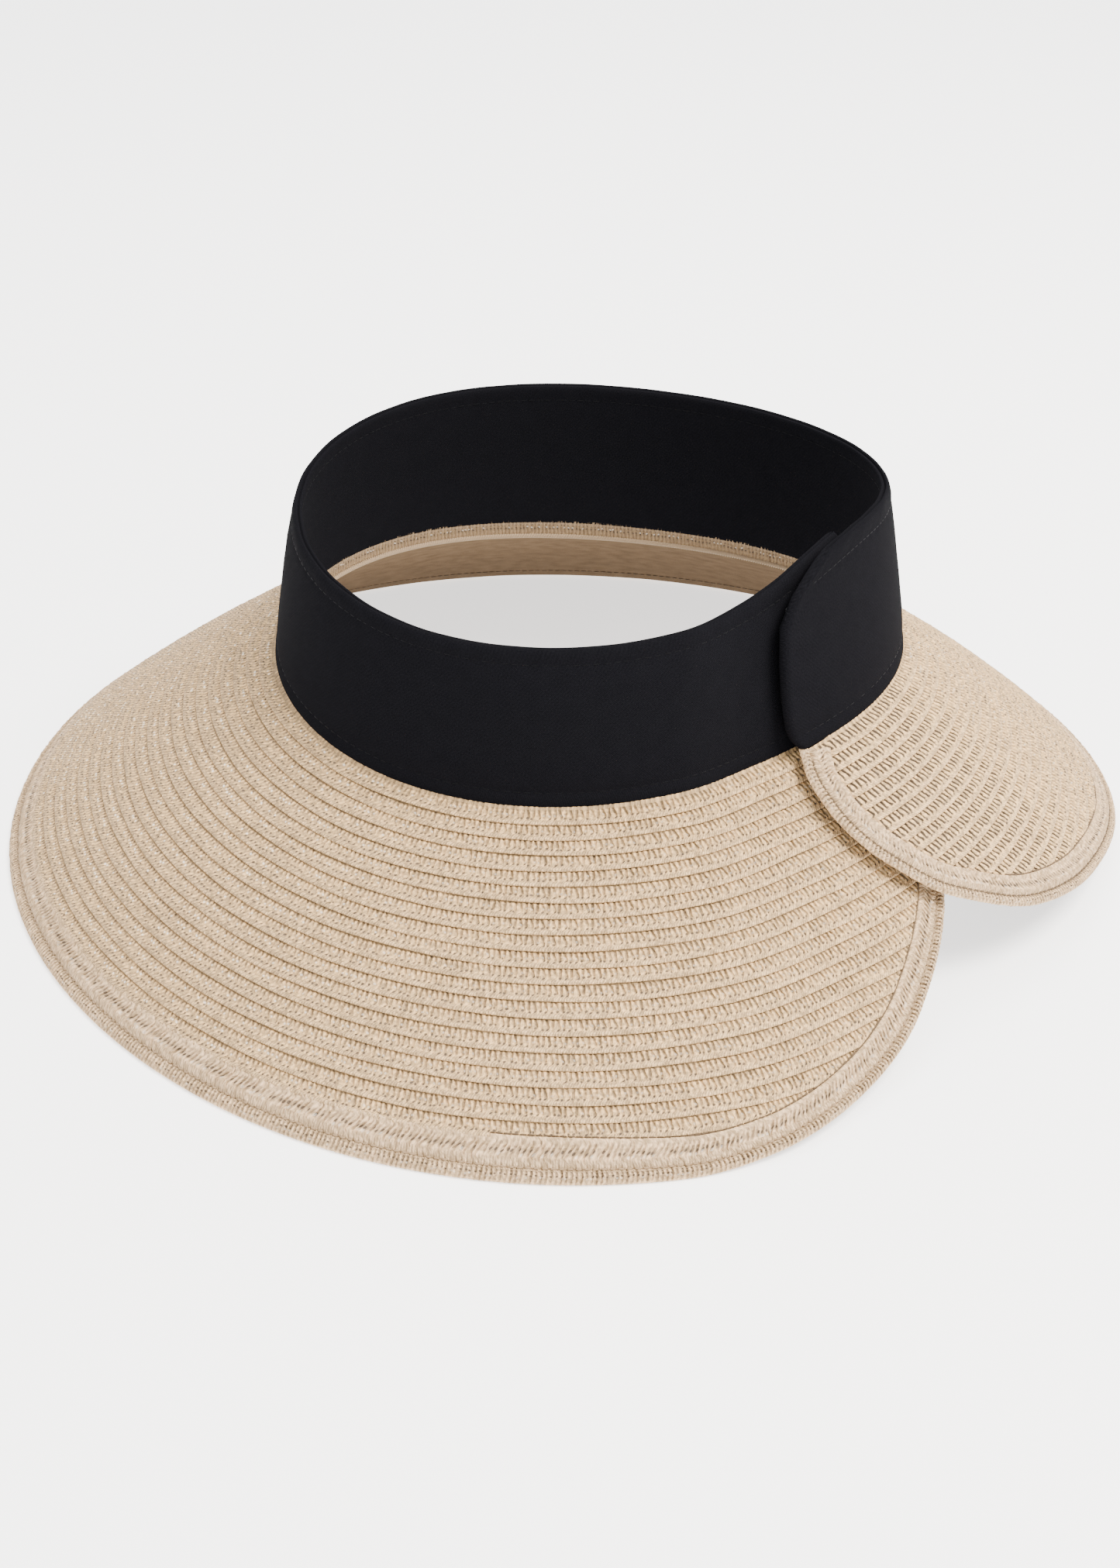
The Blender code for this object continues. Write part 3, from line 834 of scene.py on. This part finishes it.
def straw_material(name, look):
    """Paper-straw braid: strands with painted shade in the slits between them and in the groove under each
    lip, stitch dots, glints painted as highlights, and a looped lip.
    """
    p = Paint(name)
    uv, x, y = p.cloth()
    wide = p.add("ShaderNodeAttribute", out=2, attribute_name="tone")
    shut = p.math("SUBTRACT", 1.0, wide)
    wander = p.math("MULTIPLY_ADD", p.noise(p.scaled(uv, 0.9, 4.0), 1.0), 0.3, -0.15)
    along = p.math("ADD", x, wander)
    strand = p.math("FLOOR", p.math("ADD", x, 0.5))
    chance = p.add("ShaderNodeTexWhiteNoise", None, strand, noise_dimensions="1D")

    # Painted shade in the slits between strands, stronger where the strands stand apart; the same mask
    # dents the bump.
    slit_dent_and_shade = p.math("MULTIPLY", p.lines(along, 0.31, 0.14), p.band(y, look["slits"], 0.05, 0.14))
    slit_dent_and_shade = p.math("MULTIPLY", slit_dent_and_shade, p.math("MULTIPLY_ADD", chance, 0.5, 0.6))
    slit_dent_and_shade = p.math("MULTIPLY", slit_dent_and_shade, wide)
    crossing = p.lines(p.math("MULTIPLY_ADD", y, look["lean"], along), 0.34, 0.08)
    crossing = p.math("MULTIPLY", crossing, p.math("MULTIPLY_ADD", shut, 0.75, 0.3))
    loops = p.lines(p.math("MULTIPLY_ADD", along, 2.0, p.math("MULTIPLY", y, 4.0)), 0.34, 0.10)
    loops = p.math("MULTIPLY", loops, p.step(y, look["loops_from"] - 0.03, look["loops_from"] + 0.05))
    dots = p.spots(x, y, look["dots"][0], 3.7, 0.15)
    more = p.spots(x, y, look["dots"][1], 9.2, 0.2)
    more = p.math("MULTIPLY", more, p.math("MULTIPLY_ADD", shut, 0.7, 0.3))
    dots = p.math("MAXIMUM", dots, more)
    # Painted highlights: a glint on some strands, mostly where the strands close up.
    glint = p.spots(x, y, look["glints"], 5.1, 0.6)
    glint = p.math("MULTIPLY", glint, p.math("MULTIPLY_ADD", shut, 0.75, 0.2))

    fibre = p.step(p.noise(p.scaled(uv, 4.5, 7.0), 1.0, 3.0), 0.36, 0.64)
    grain = p.step(p.noise(p.scaled(uv, 1.05, 5.0), 1.0, 2.0), 0.38, 0.62)
    patch = p.noise(p.scaled(uv, 0.06, 0.7), 1.5)
    lip = p.step(y, look["lip_from"] - 0.08, look["lip_from"] + 0.05)
    colour = p.mix(lip, look["strand"], look["lip"])
    shade = p.math("MULTIPLY_ADD", grain, 0.60, p.math("MULTIPLY", fibre, 0.28))
    shade = p.math("ADD", shade, p.math("MULTIPLY", chance, 0.14))
    shade = p.math("MULTIPLY_ADD", patch, 0.5, p.math("SUBTRACT", shade, 0.3))
    colour = p.mix(shade, colour, BROWN_SHADE)
    for mark, strength, tint in (
        (crossing, 0.8, WARM_SHADE),
        (loops, 0.45, WARM_SHADE),
        (dots, 0.85, DOT_SHADE),
        (slit_dent_and_shade, 0.65, PAINTED_GAP_SHADE),
        (glint, 0.9, GLINT_SHADE),
    ):
        colour = p.mix(p.math("MULTIPLY", mark, strength), colour, tint)
    # Painted shade in the groove under the lip of the row before, a little stronger at each slit.
    painted_groove_shade = p.step(y, look["groove_shade_to"] + 0.05, look["groove_shade_to"] - 0.03)
    painted_groove_shade = p.math("MULTIPLY", painted_groove_shade, p.math("MULTIPLY_ADD", p.lines(x, 0.40, 0.15), 0.4, 0.15))
    colour = p.mix(painted_groove_shade, colour, PAINTED_GAP_SHADE)

    height = p.math("MULTIPLY_ADD", fibre, -0.4, p.math("MULTIPLY", grain, -0.35))
    height = p.math("SUBTRACT", height, p.math("MULTIPLY", p.math("ADD", crossing, loops), 0.5))
    height = p.math("SUBTRACT", height, p.math("MULTIPLY", p.math("ADD", slit_dent_and_shade, dots), 0.5))
    p.bump(height, 1.0, 0.00024)
    rough = p.math("SUBTRACT", p.math("MULTIPLY_ADD", fibre, 0.25, 0.5), p.math("MULTIPLY", glint, 0.25))
    return p.finish(colour, rough, 0.3, 0.03, (1.0, 0.93, 0.82, 1.0))


def cloth_material(name, colour, light, pitch, twill, mottling, roughness, sheen, tint):
    """Woven cloth in millimetre coordinates: twill or plain weave, mottling and a little lint."""
    p = Paint(name)
    uv, x, y = p.cloth()
    turn = 2.0 * math.pi / pitch
    across = p.math("MULTIPLY", x, turn)
    up = p.math("MULTIPLY", y, turn)
    if twill:
        weave = p.math("SINE", p.math("ADD", across, up))
        thread = p.math("SINE", p.math("MULTIPLY", p.math("SUBTRACT", across, up), 0.5))
        weave = p.math("ADD", p.math("MULTIPLY", weave, 0.6), p.math("MULTIPLY", thread, 0.3))
    else:
        weave = p.math("MULTIPLY", p.math("SINE", across), p.math("SINE", up))
    mottle = p.noise(p.scaled(uv, 0.18, 0.18), 1.0, 5.0)
    grain = p.noise(p.scaled(uv, 2.2, 2.2), 1.0, 3.0)
    lint = p.step(p.noise(p.scaled(uv, 1.1, 2.6), 1.0, 2.0), 0.70, 0.76)
    mottle = p.math("MULTIPLY_ADD", mottle, mottling, 0.25 - mottling / 2.0)
    shade = p.math("ADD", p.math("MULTIPLY", weave, 0.10), mottle)
    shade = p.math("ADD", shade, p.math("MULTIPLY_ADD", grain, 0.7, -0.3))
    made = p.mix(shade, colour, light)
    fluff = tuple(min(1.0, c * 1.8) for c in light[:3]) + (1.0,)
    made = p.mix(p.math("MULTIPLY", lint, 0.25), made, fluff)
    height = p.math("ADD", p.math("MULTIPLY", weave, 0.25), p.math("MULTIPLY", grain, 0.9))
    p.bump(height, 0.6, 0.00018)
    rough = p.math("MULTIPLY_ADD", grain, 0.2, roughness - 0.1)
    return p.finish(made, rough, 0.01, sheen, tint)


def thread_material(name, colour, light, specular=0.15):
    """Twisted sewing thread."""
    p = Paint(name)
    uv, x, y = p.cloth()
    twist = p.math("SINE", p.math("ADD", p.math("MULTIPLY", x, 18.0), p.math("MULTIPLY", y, 6.283)))
    made = p.mix(p.math("MULTIPLY_ADD", twist, 0.3, 0.5), colour, light)
    p.bump(twist, 0.5, 0.00008)
    rough = p.math("MULTIPLY_ADD", twist, 0.08, 0.55)
    return p.finish(made, rough, specular, 0.02)


# How a braid looks that has no painted groove shade along its inner edge.
PLAIN_EDGES = {"lip_from": 0.80, "loops_from": 0.70, "groove_shade_to": -0.3}
# The straw's darker and lighter colours, which its markings are mixed from; the gap colour is painted
# shade in the slits and under each lip, and the glint colour is a painted highlight.
BROWN_SHADE = (0.33, 0.22, 0.112, 1.0)
WARM_SHADE = (0.20, 0.132, 0.07, 1.0)
DOT_SHADE = (0.05, 0.038, 0.032, 1.0)
PAINTED_GAP_SHADE = (0.07, 0.045, 0.024, 1.0)
GLINT_SHADE = (1.0, 0.93, 0.82, 1.0)
STRAW = straw_material(
    "straw_braid",
    {
        "slits": (0.17, 0.74),
        "dots": (0.70, 0.36),
        "glints": 0.52,
        "lean": 2.6,
        "strand": (0.94, 0.60, 0.272, 1.0),
        "lip": (0.94, 0.62, 0.315, 1.0),
        "lip_from": 0.80,
        "loops_from": 0.74,
        "groove_shade_to": 0.25,
    },
)
BORDER = straw_material(
    "straw_border",
    {
        "slits": (0.32, 0.70),
        "dots": (0.50, 0.24),
        "glints": 0.62,
        "lean": 3.0,
        "strand": (0.84, 0.575, 0.335, 1.0),
        "lip": (0.84, 0.585, 0.35, 1.0),
        **PLAIN_EDGES,
    },
)
EDGE = straw_material(
    "straw_edge",
    {
        "slits": (0.10, 0.90),
        "dots": (0.50, 0.75),
        "glints": 0.35,
        "lean": 1.5,
        "strand": (0.84, 0.575, 0.33, 1.0),
        "lip": (0.82, 0.57, 0.33, 1.0),
        **PLAIN_EDGES,
    },
)
# The straw turned up inside the headband: the brim's straw painted far darker, as painted shade inside the
# headband.
SHADED_COLLAR_STRAW = straw_material(
    "straw_collar",
    {
        "slits": (0.30, 0.70),
        "dots": (0.50, 0.75),
        "glints": 0.60,
        "lean": 1.0,
        "strand": (0.24, 0.155, 0.085, 1.0),
        "lip": (0.36, 0.25, 0.15, 1.0),
        **PLAIN_EDGES,
    },
)
CLOTH = cloth_material(
    "headband_cotton",
    (0.0020, 0.0020, 0.0027, 1.0),
    (0.0112, 0.0110, 0.0135, 1.0),
    0.62,
    True,
    0.15,
    0.9,
    0.005,
    (0.75, 0.75, 0.85, 1.0),
)
# Tan lining cloth, its colour darkened past its own as painted shade under the brim.
LINING_TAN_AND_SHADE = cloth_material(
    "brim_lining_cotton",
    (0.088, 0.057, 0.031, 1.0),
    (0.198, 0.131, 0.077, 1.0),
    0.9,
    False,
    0.9,
    0.85,
    0.02,
    (1.0, 0.9, 0.78, 1.0),
)
BLACK_THREAD = thread_material(
    "black_thread", (0.002, 0.002, 0.0026, 1.0), (0.006, 0.006, 0.0075, 1.0), 0.04
)
TAN_THREAD = thread_material("tan_thread", (0.22, 0.145, 0.08, 1.0), (0.42, 0.29, 0.17, 1.0))
BROWN_THREAD = thread_material("brown_thread", (0.07, 0.046, 0.025, 1.0), (0.17, 0.115, 0.066, 1.0))
CREAM_THREAD = thread_material("cream_thread", (0.20, 0.14, 0.085, 1.0), (0.46, 0.34, 0.22, 1.0))


# Headband, lining, collar and piping.


def band_end(up, stops):
    """Angle at which a rounded end of the headband stops, at this height."""
    middle, foot, top = stops
    share = np.clip(up, 0.0, BAND_HEIGHT) / (BAND_HEIGHT / 2.0) - 1.0
    corner = np.where(share > 0.0, top, foot)
    return middle + (corner - middle) * np.abs(share) ** 5


def band_stops(flap):
    """Where the headband ends."""
    return FLAP_BAND_END if flap else INNER_BAND_END


def ring_length(end):
    """Length along the crease from the seam to this angle."""
    return abs(end - SEAM) * math.radians(1.0) * CREASE_RADIUS


def band_cloth(flap):
    """The headband's cloth: out from the foot, up the outside, over the seamed top and down inside."""
    stops = band_stops(flap)
    out, up = profile_columns(BAND_PROFILE)
    length = ring_length(stops[0])
    close = length - np.array([2.6, 2.0, 1.5, 1.0, 0.6, 0.3, 0.1, 0.0])
    s = np.concatenate([np.arange(0.0, length - 3.5, 1.3), close])
    share = s / length
    angle = SEAM + (band_end(up, stops)[None, :] - SEAM) * share[:, None]
    left = (length - s)[:, None]
    round_off = np.sqrt(1.0 - (1.0 - np.clip(left / BAND_EDGE_ROUNDING, 0.0, 1.0)) ** 2)
    ripple = 0.10 * np.sin(s / 9.0)[:, None] * np.sin(up / 7.0)[None, :]
    ripple = ripple + 0.08 * np.sin(s / 3.3 + 1.0)[:, None] * np.exp(-(((up - 45.5) / 3.0) ** 2))[None, :]
    pucker = 0.07 * np.sin(s / 0.95)[:, None] * np.exp(-(((up - 4.5) / 1.6) ** 2))[None, :]
    pucker = pucker + 0.07 * np.sin(s / 1.0)[:, None] * np.exp(-(((up - 43.2) / 1.4) ** 2))[None, :]
    settle = smooth(s / 12.0)[:, None]
    puff = np.where(out > 0.0, 0.25, 0.0)[None, :] * np.exp(-((left / 6.0) ** 2)) if flap else 0.0
    reach = BAND_MIDDLE + (out[None, :] - BAND_MIDDLE + (ripple + pucker) * settle + puff) * round_off
    points = band(angle, np.broadcast_to(up[None, :], angle.shape), reach)
    walk = np.concatenate([[0.0], np.cumsum(np.hypot(np.diff(out), np.diff(up)))])
    uv = uv_grid(s, walk)
    obj = grid(named("headband", flap), points, uv, CLOTH)
    nodes = [named(part, flap) for part in ("headband_outer", "headband_stiffener", "headband_lining")]
    attach(obj, flap, *nodes, slot="headband_cloth")
    return obj


def collar(flap):
    """The end of the straw turned up inside the headband's foot."""
    end = float(band_end(np.array(0.0), band_stops(flap))) - 2.0 * way_round(flap)
    length = ring_length(end)
    number, deep = strand_columns(length, COLLAR_STRAND)
    v, up, cut = profile_columns(COLLAR_PROFILE)
    lean = RANDOM.normal(0.0, 0.35, int(number[-1]) + 2)
    shift = np.interp(number, np.arange(len(lean)), lean)[:, None] * (v - 0.5)[None, :]
    settle = smooth(number / 3.0)[:, None]
    s = np.clip(number[:, None] * COLLAR_STRAND + shift * settle, 0.0, length)
    angle = SEAM + way_round(flap) * np.degrees(s / CREASE_RADIUS)
    rough = RANDOM.normal(0.0, 0.08, s.shape)
    out = COLLAR_OUT + COLLAR_SLIT_DEPTH * deep[:, None] * cut[None, :] + rough * settle
    points = band(angle, np.broadcast_to(up[None, :], angle.shape), out)
    uv = uv_grid(number, v)
    tone = np.full(s.shape, COLLAR_TONE)
    obj = grid(named("collar", flap), points, uv, SHADED_COLLAR_STRAW, None, tone)
    return attach(obj, flap, named("straw_collar", flap), slot="straw")


def twisted_cord(flap):
    """The seam piping: three cords twisted together under the crease."""
    end = float(band_end(np.array(0.0), band_stops(flap))) - 3.0 * way_round(flap)
    length = ring_length(end)
    s = np.arange(0.0, length, 0.36)
    angle = SEAM + (end - SEAM) * s / length
    radius, height = crease(angle)
    dip = dip_at(angle)
    turn = np.radians(angle)
    sides = np.linspace(0.0, 2.0 * math.pi, 7)
    strands, maps = [], []
    for k in range(3):
        spin = 2.0 * math.pi * (s / PIPING_TURN + k / 3.0)
        out = radius - dip - PIPING_IN + PIPING_TWIST * np.cos(spin)
        z = height - dip * DIP_DOWN - PIPING_DOWN + PIPING_TWIST * np.sin(spin)
        ring_out = out[:, None] + PIPING_CORD * np.cos(sides)[None, :]
        ring_z = z[:, None] + PIPING_CORD * np.sin(sides)[None, :]
        x, y = ring_out * np.cos(turn)[:, None], ring_out * np.sin(turn)[:, None]
        strands.append(place(x, y, ring_z))
        maps.append(uv_grid(s, sides / (2.0 * math.pi)))
    obj = joined_grids(named("piping", flap), strands, maps, CREAM_THREAD)
    return attach(obj, flap, named("seam_piping", flap), slot="piping")


def lining(flap):
    """The cloth under the straw, with its turned edge."""
    start, length = edge_run(flap)
    s = start + way_round(flap) * np.arange(0.0, length, 2.0)
    hem, hem_u = OUTLINE.inset(s, np.full(s.shape, LINING_HEM))
    tip = band_stops(flap)[1] - way_round(flap)
    inner = np.maximum(hem, tip) if flap else np.minimum(hem, tip)
    share, under = profile_columns(LINING_PROFILE)
    used = hem_u > 4.0
    inner, hem, hem_u = inner[used], hem[used], hem_u[used]
    angle = inner[:, None] + (hem - inner)[:, None] * share[None, :]
    u = LINING_START + (hem_u - LINING_START)[:, None] * share[None, :]
    n = np.broadcast_to(under[None, :], u.shape) + 0.05 * np.sin(u / 4.6 * 2.0 * math.pi)
    points = brim(angle, u, n)
    flat = to_pattern(angle, u)
    obj = grid(named("lining_cloth", flap), points, flat, LINING_TAN_AND_SHADE)
    attach(obj, flap, "flap_lining" if flap else "brim_lining", slot="brim_lining_cloth")
    return obj


# Stitching.


def stitch_shape():
    """A stitch 1 long and 1 across: rings of a slim rounded bar, lying on its side."""
    rings = np.array([[-0.5, 0.25], [-0.42, 0.75], [-0.2, 1.0], [0.2, 1.0], [0.42, 0.75], [0.5, 0.25]])
    sides = np.linspace(0.0, 2.0 * math.pi, 7)
    x = np.repeat(rings[:, :1], len(sides), axis=1)
    y = rings[:, 1:] * np.cos(sides)[None, :] * 0.5
    z = rings[:, 1:] * np.sin(sides)[None, :] * 0.5
    return np.stack([x, y, z], -1)


def stitches(name, points, up, size, material, flap, slot):
    """Stitches at points, each towards the next point, lying square to up. size: length, width, height."""
    shape = stitch_shape()
    along = points[1:] - points[:-1]
    along /= np.linalg.norm(along, axis=1)[:, None]
    middle = (points[1:] + points[:-1]) / 2.0
    up = up[:-1] - (up[:-1] * along).sum(1)[:, None] * along
    up /= np.linalg.norm(up, axis=1)[:, None]
    side = np.cross(up, along)
    length, width, height = (value * MM for value in size)
    made = (
        middle[:, None, None, :]
        + shape[None, ..., :1] * length * along[:, None, None, :]
        + shape[None, ..., 1:2] * width * side[:, None, None, :]
        + shape[None, ..., 2:] * height * up[:, None, None, :]
    )
    uv = uv_grid(shape[:, 0, 0] * 2.0, np.linspace(0.0, 1.0, 7))
    obj = joined_grids(name, list(made), [uv] * len(made), material)
    return attach(obj, flap, slot=slot)


def outline_stitches(name, flap, inset, n, pitch, size, material, slot, facing=1.0, share=1.0):
    """Stitches along a share of the outline, inside it by the distance that inset gives for s."""
    start, length = edge_run(flap)
    s = start + way_round(flap) * np.arange(0.0, (length - 3.0) * share, pitch)
    angle, u = OUTLINE.inset(s, inset(s))
    keep = u > 2.0
    angle, u = angle[keep], u[keep]
    points = brim(angle, u, np.full(u.shape, n))
    above = brim(angle, u, np.full(u.shape, n + facing)) - points
    return stitches(named(name, flap), points, above, size, material, flap, slot)


def band_stitches(name, flap, up, out):
    """A line of stitches round the headband."""
    end = float(band_end(np.array(up), band_stops(flap)))
    s = np.arange(0.4, ring_length(end) - 3.0, BAND_STITCH_PITCH)
    angle = SEAM + way_round(flap) * np.degrees(s / CREASE_RADIUS)
    height = np.full(s.shape, up)
    points = band(angle, height, np.full(s.shape, out))
    facing = 1.0 if out > 0 else -1.0
    above = band(angle, height, np.full(s.shape, out + facing)) - points
    return stitches(named(name, flap), points, above, BAND_STITCH, BLACK_THREAD, flap, "headband_cloth")


# The hook-and-loop patches.


def patch(name, node, angles, out, facing, material, slot, flap_body):
    """A hook or loop patch with a rounded edge, covered in small curved hooks."""
    first, last = angles
    foot, top = PATCH_HEIGHTS
    angle, up = np.meshgrid(np.linspace(first, last, 40), np.linspace(foot, top, 30), indexing="ij")
    x = (angle - first) / (last - first)
    y = (up - foot) / (top - foot)
    width, height = PATCH_SIZE
    edge = np.minimum(np.minimum(x, 1.0 - x) * width, np.minimum(y, 1.0 - y) * height)
    swell = 0.3 * np.sqrt(1.0 - (1.0 - np.clip(edge, 0.0, 1.0)) ** 2)
    swell = swell + 0.05 * np.sin(angle * 9.0) * np.sin(up * 5.0)
    body = band(angle, up, out + facing * swell)
    uv = np.stack([x * width, y * height], -1)
    parts, maps = [body], [uv]
    sides = np.linspace(0.0, 2.0 * math.pi, 5)
    bend = np.linspace(0.0, 1.0, 4)
    rise = out + facing * (0.25 + 0.45 * np.sin(bend * 2.2))
    for column in np.linspace(first + 0.9, last - 0.9, HOOKS[0]):
        for row in np.linspace(foot + 1.4, top - 1.4, HOOKS[1]):
            here = column + RANDOM.normal(0.0, 0.08)
            height_here = row + RANDOM.normal(0.0, 0.12)
            lean = height_here + 0.5 * bend * RANDOM.choice((-1.0, 1.0))
            ring_up = lean[:, None] + 0.11 * np.sin(sides)[None, :]
            ring_angle = np.broadcast_to(here + 0.07 * np.cos(sides)[None, :], ring_up.shape)
            parts.append(band(ring_angle, ring_up, np.broadcast_to(rise[:, None], ring_up.shape)))
            maps.append(np.zeros(ring_up.shape + (2,)))
    obj = joined_grids(name, parts, maps, material)
    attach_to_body(obj, flap_body)
    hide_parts(node)
    return obj


def tape_material(name, colour, light):
    """Black nylon tape."""
    p = Paint(name)
    uv, x, y = p.cloth()
    across = p.math("SINE", p.math("MULTIPLY", x, 9.0))
    up = p.math("SINE", p.math("MULTIPLY", y, 9.0))
    weave = p.math("MULTIPLY", across, up)
    grain = p.noise(p.scaled(uv, 1.5, 1.5), 1.0)
    made = p.mix(p.math("MULTIPLY_ADD", weave, 0.3, grain), colour, light)
    p.bump(weave, 0.5, 0.0001)
    rough = p.math("MULTIPLY_ADD", grain, 0.2, 0.65)
    return p.finish(made, rough, 0.1, 0.02)


# The stage: floor, lights and camera.


def stage():
    """A plain pale floor and soft lights."""
    mesh = bpy.data.meshes.new("floor")
    far = FLOOR_REACH
    mesh.from_pydata([(-far, -far, 0), (far, -far, 0), (far, far, 0), (-far, far, 0)], [], [(0, 1, 2, 3)])
    floor = bpy.data.objects.new("floor", mesh)
    p = Paint("floor_paper")
    grain = p.noise(p.add("ShaderNodeTexCoord", out=3), 40.0)
    p.bump(grain, 0.02, 0.001)
    p.shader.inputs["Emission Color"].default_value = (1.0, 1.0, 1.0, 1.0)
    p.shader.inputs["Emission Strength"].default_value = FLOOR_GLOW
    mesh.materials.append(p.finish((0.95, 0.95, 0.95, 1.0), 0.9, 0.1))
    bpy.context.scene.collection.objects.link(floor)
    for name, settings in LIGHTS.items():
        area_light(name, *settings)
    world = bpy.data.worlds.new("studio")
    world.use_nodes = True
    world.node_tree.nodes["Background"].inputs[0].default_value = (1.0, 1.0, 1.0, 1.0)
    world.node_tree.nodes["Background"].inputs[1].default_value = WORLD_GLOW
    bpy.context.scene.world = world


def area_light(name, position, size, power, colour):
    """A square soft box aimed at the visor."""
    light = bpy.data.lights.new(name, "AREA")
    light.color = colour
    light.size = size
    light.energy = power
    obj = bpy.data.objects.new(name, light)
    obj.location = position
    obj.rotation_mode = "QUATERNION"
    obj.rotation_quaternion = (Vector(LIGHTS_AIM) - Vector(position)).to_track_quat("-Z", "Y")
    bpy.context.scene.collection.objects.link(obj)


def camera():
    """The camera at the photograph's viewing angle."""
    data = bpy.data.cameras.new("camera")
    data.sensor_width = SENSOR
    data.lens = CAMERA_FOCAL / IMAGE_HEIGHT * data.sensor_width
    data.clip_start, data.clip_end = 0.01, 50.0
    obj = bpy.data.objects.new("camera", data)
    obj.location = (
        (RING[0] + CAMERA_ACROSS) * MM,
        (RING[1] - CAMERA_DISTANCE * math.cos(CAMERA_ELEVATION)) * MM,
        (CREASE_HEIGHT + CAMERA_RISE + CAMERA_DISTANCE * math.sin(CAMERA_ELEVATION)) * MM,
    )
    obj.rotation_euler = (math.pi / 2.0 - CAMERA_ELEVATION, 0.0, 0.0)
    bpy.context.scene.collection.objects.link(obj)
    bpy.context.scene.camera = obj


def build():
    """Every piece of the visor."""
    for index in range(ROW_COUNT):
        braid_row(index, False, STRAW)
        braid_row(index, True, STRAW)
    for flap in (False, True):
        outline_braid(
            "border", flap, BORDER_PROFILE, BORDER_STRAND, BORDER_SLIT_DEPTH, border_reach, 0.9, BORDER
        )
        outline_braid("edge", flap, EDGE_PROFILE, EDGE_STRAND, EDGE_SLIT_DEPTH, edge_reach, 0.3, EDGE)
        lining(flap)
        band_cloth(flap)
        collar(flap)
        twisted_cord(flap)
        outline_stitches(
            "edge_stitches", flap, lambda s: OUTLINE.total(s) * EDGE_SHARE + 0.1, 0.75, 2.2,
            (1.5, 0.8, 0.6), BROWN_THREAD if flap else TAN_THREAD, "border_straw",
        )
        outline_stitches(
            "border_stitches", flap, lambda s: OUTLINE.total(s) + 0.25, 0.9, 2.2,
            (1.9, 0.55, 0.5), BROWN_THREAD, "border_straw", share=0.62 if flap else 1.0,
        )
        outline_stitches(
            "lining_stitches", flap, lambda s: OUTLINE.total(s), -1.35, 2.6,
            (1.9, 0.45, 0.3), BROWN_THREAD, "brim_lining_cloth", facing=-1.0,
        )
        for name, up, out in BAND_SEAMS:
            band_stitches(name, flap, up, out)
    hook = tape_material("hook_tape_nylon", (0.012, 0.012, 0.015, 1.0), (0.045, 0.045, 0.05, 1.0))
    loop = tape_material("loop_tape_nylon", (0.010, 0.010, 0.013, 1.0), (0.035, 0.034, 0.04, 1.0))
    patch("loop_patch", "loop_tape", (312.0, 333.0), 1.75, 1.0, loop, "loop_pile", "visor")
    patch("hook_patch", "hook_tape", (-49.5, -29.0), -1.75, -1.0, hook, "hook_tape", "outer_flap")


build()
stage()
camera()
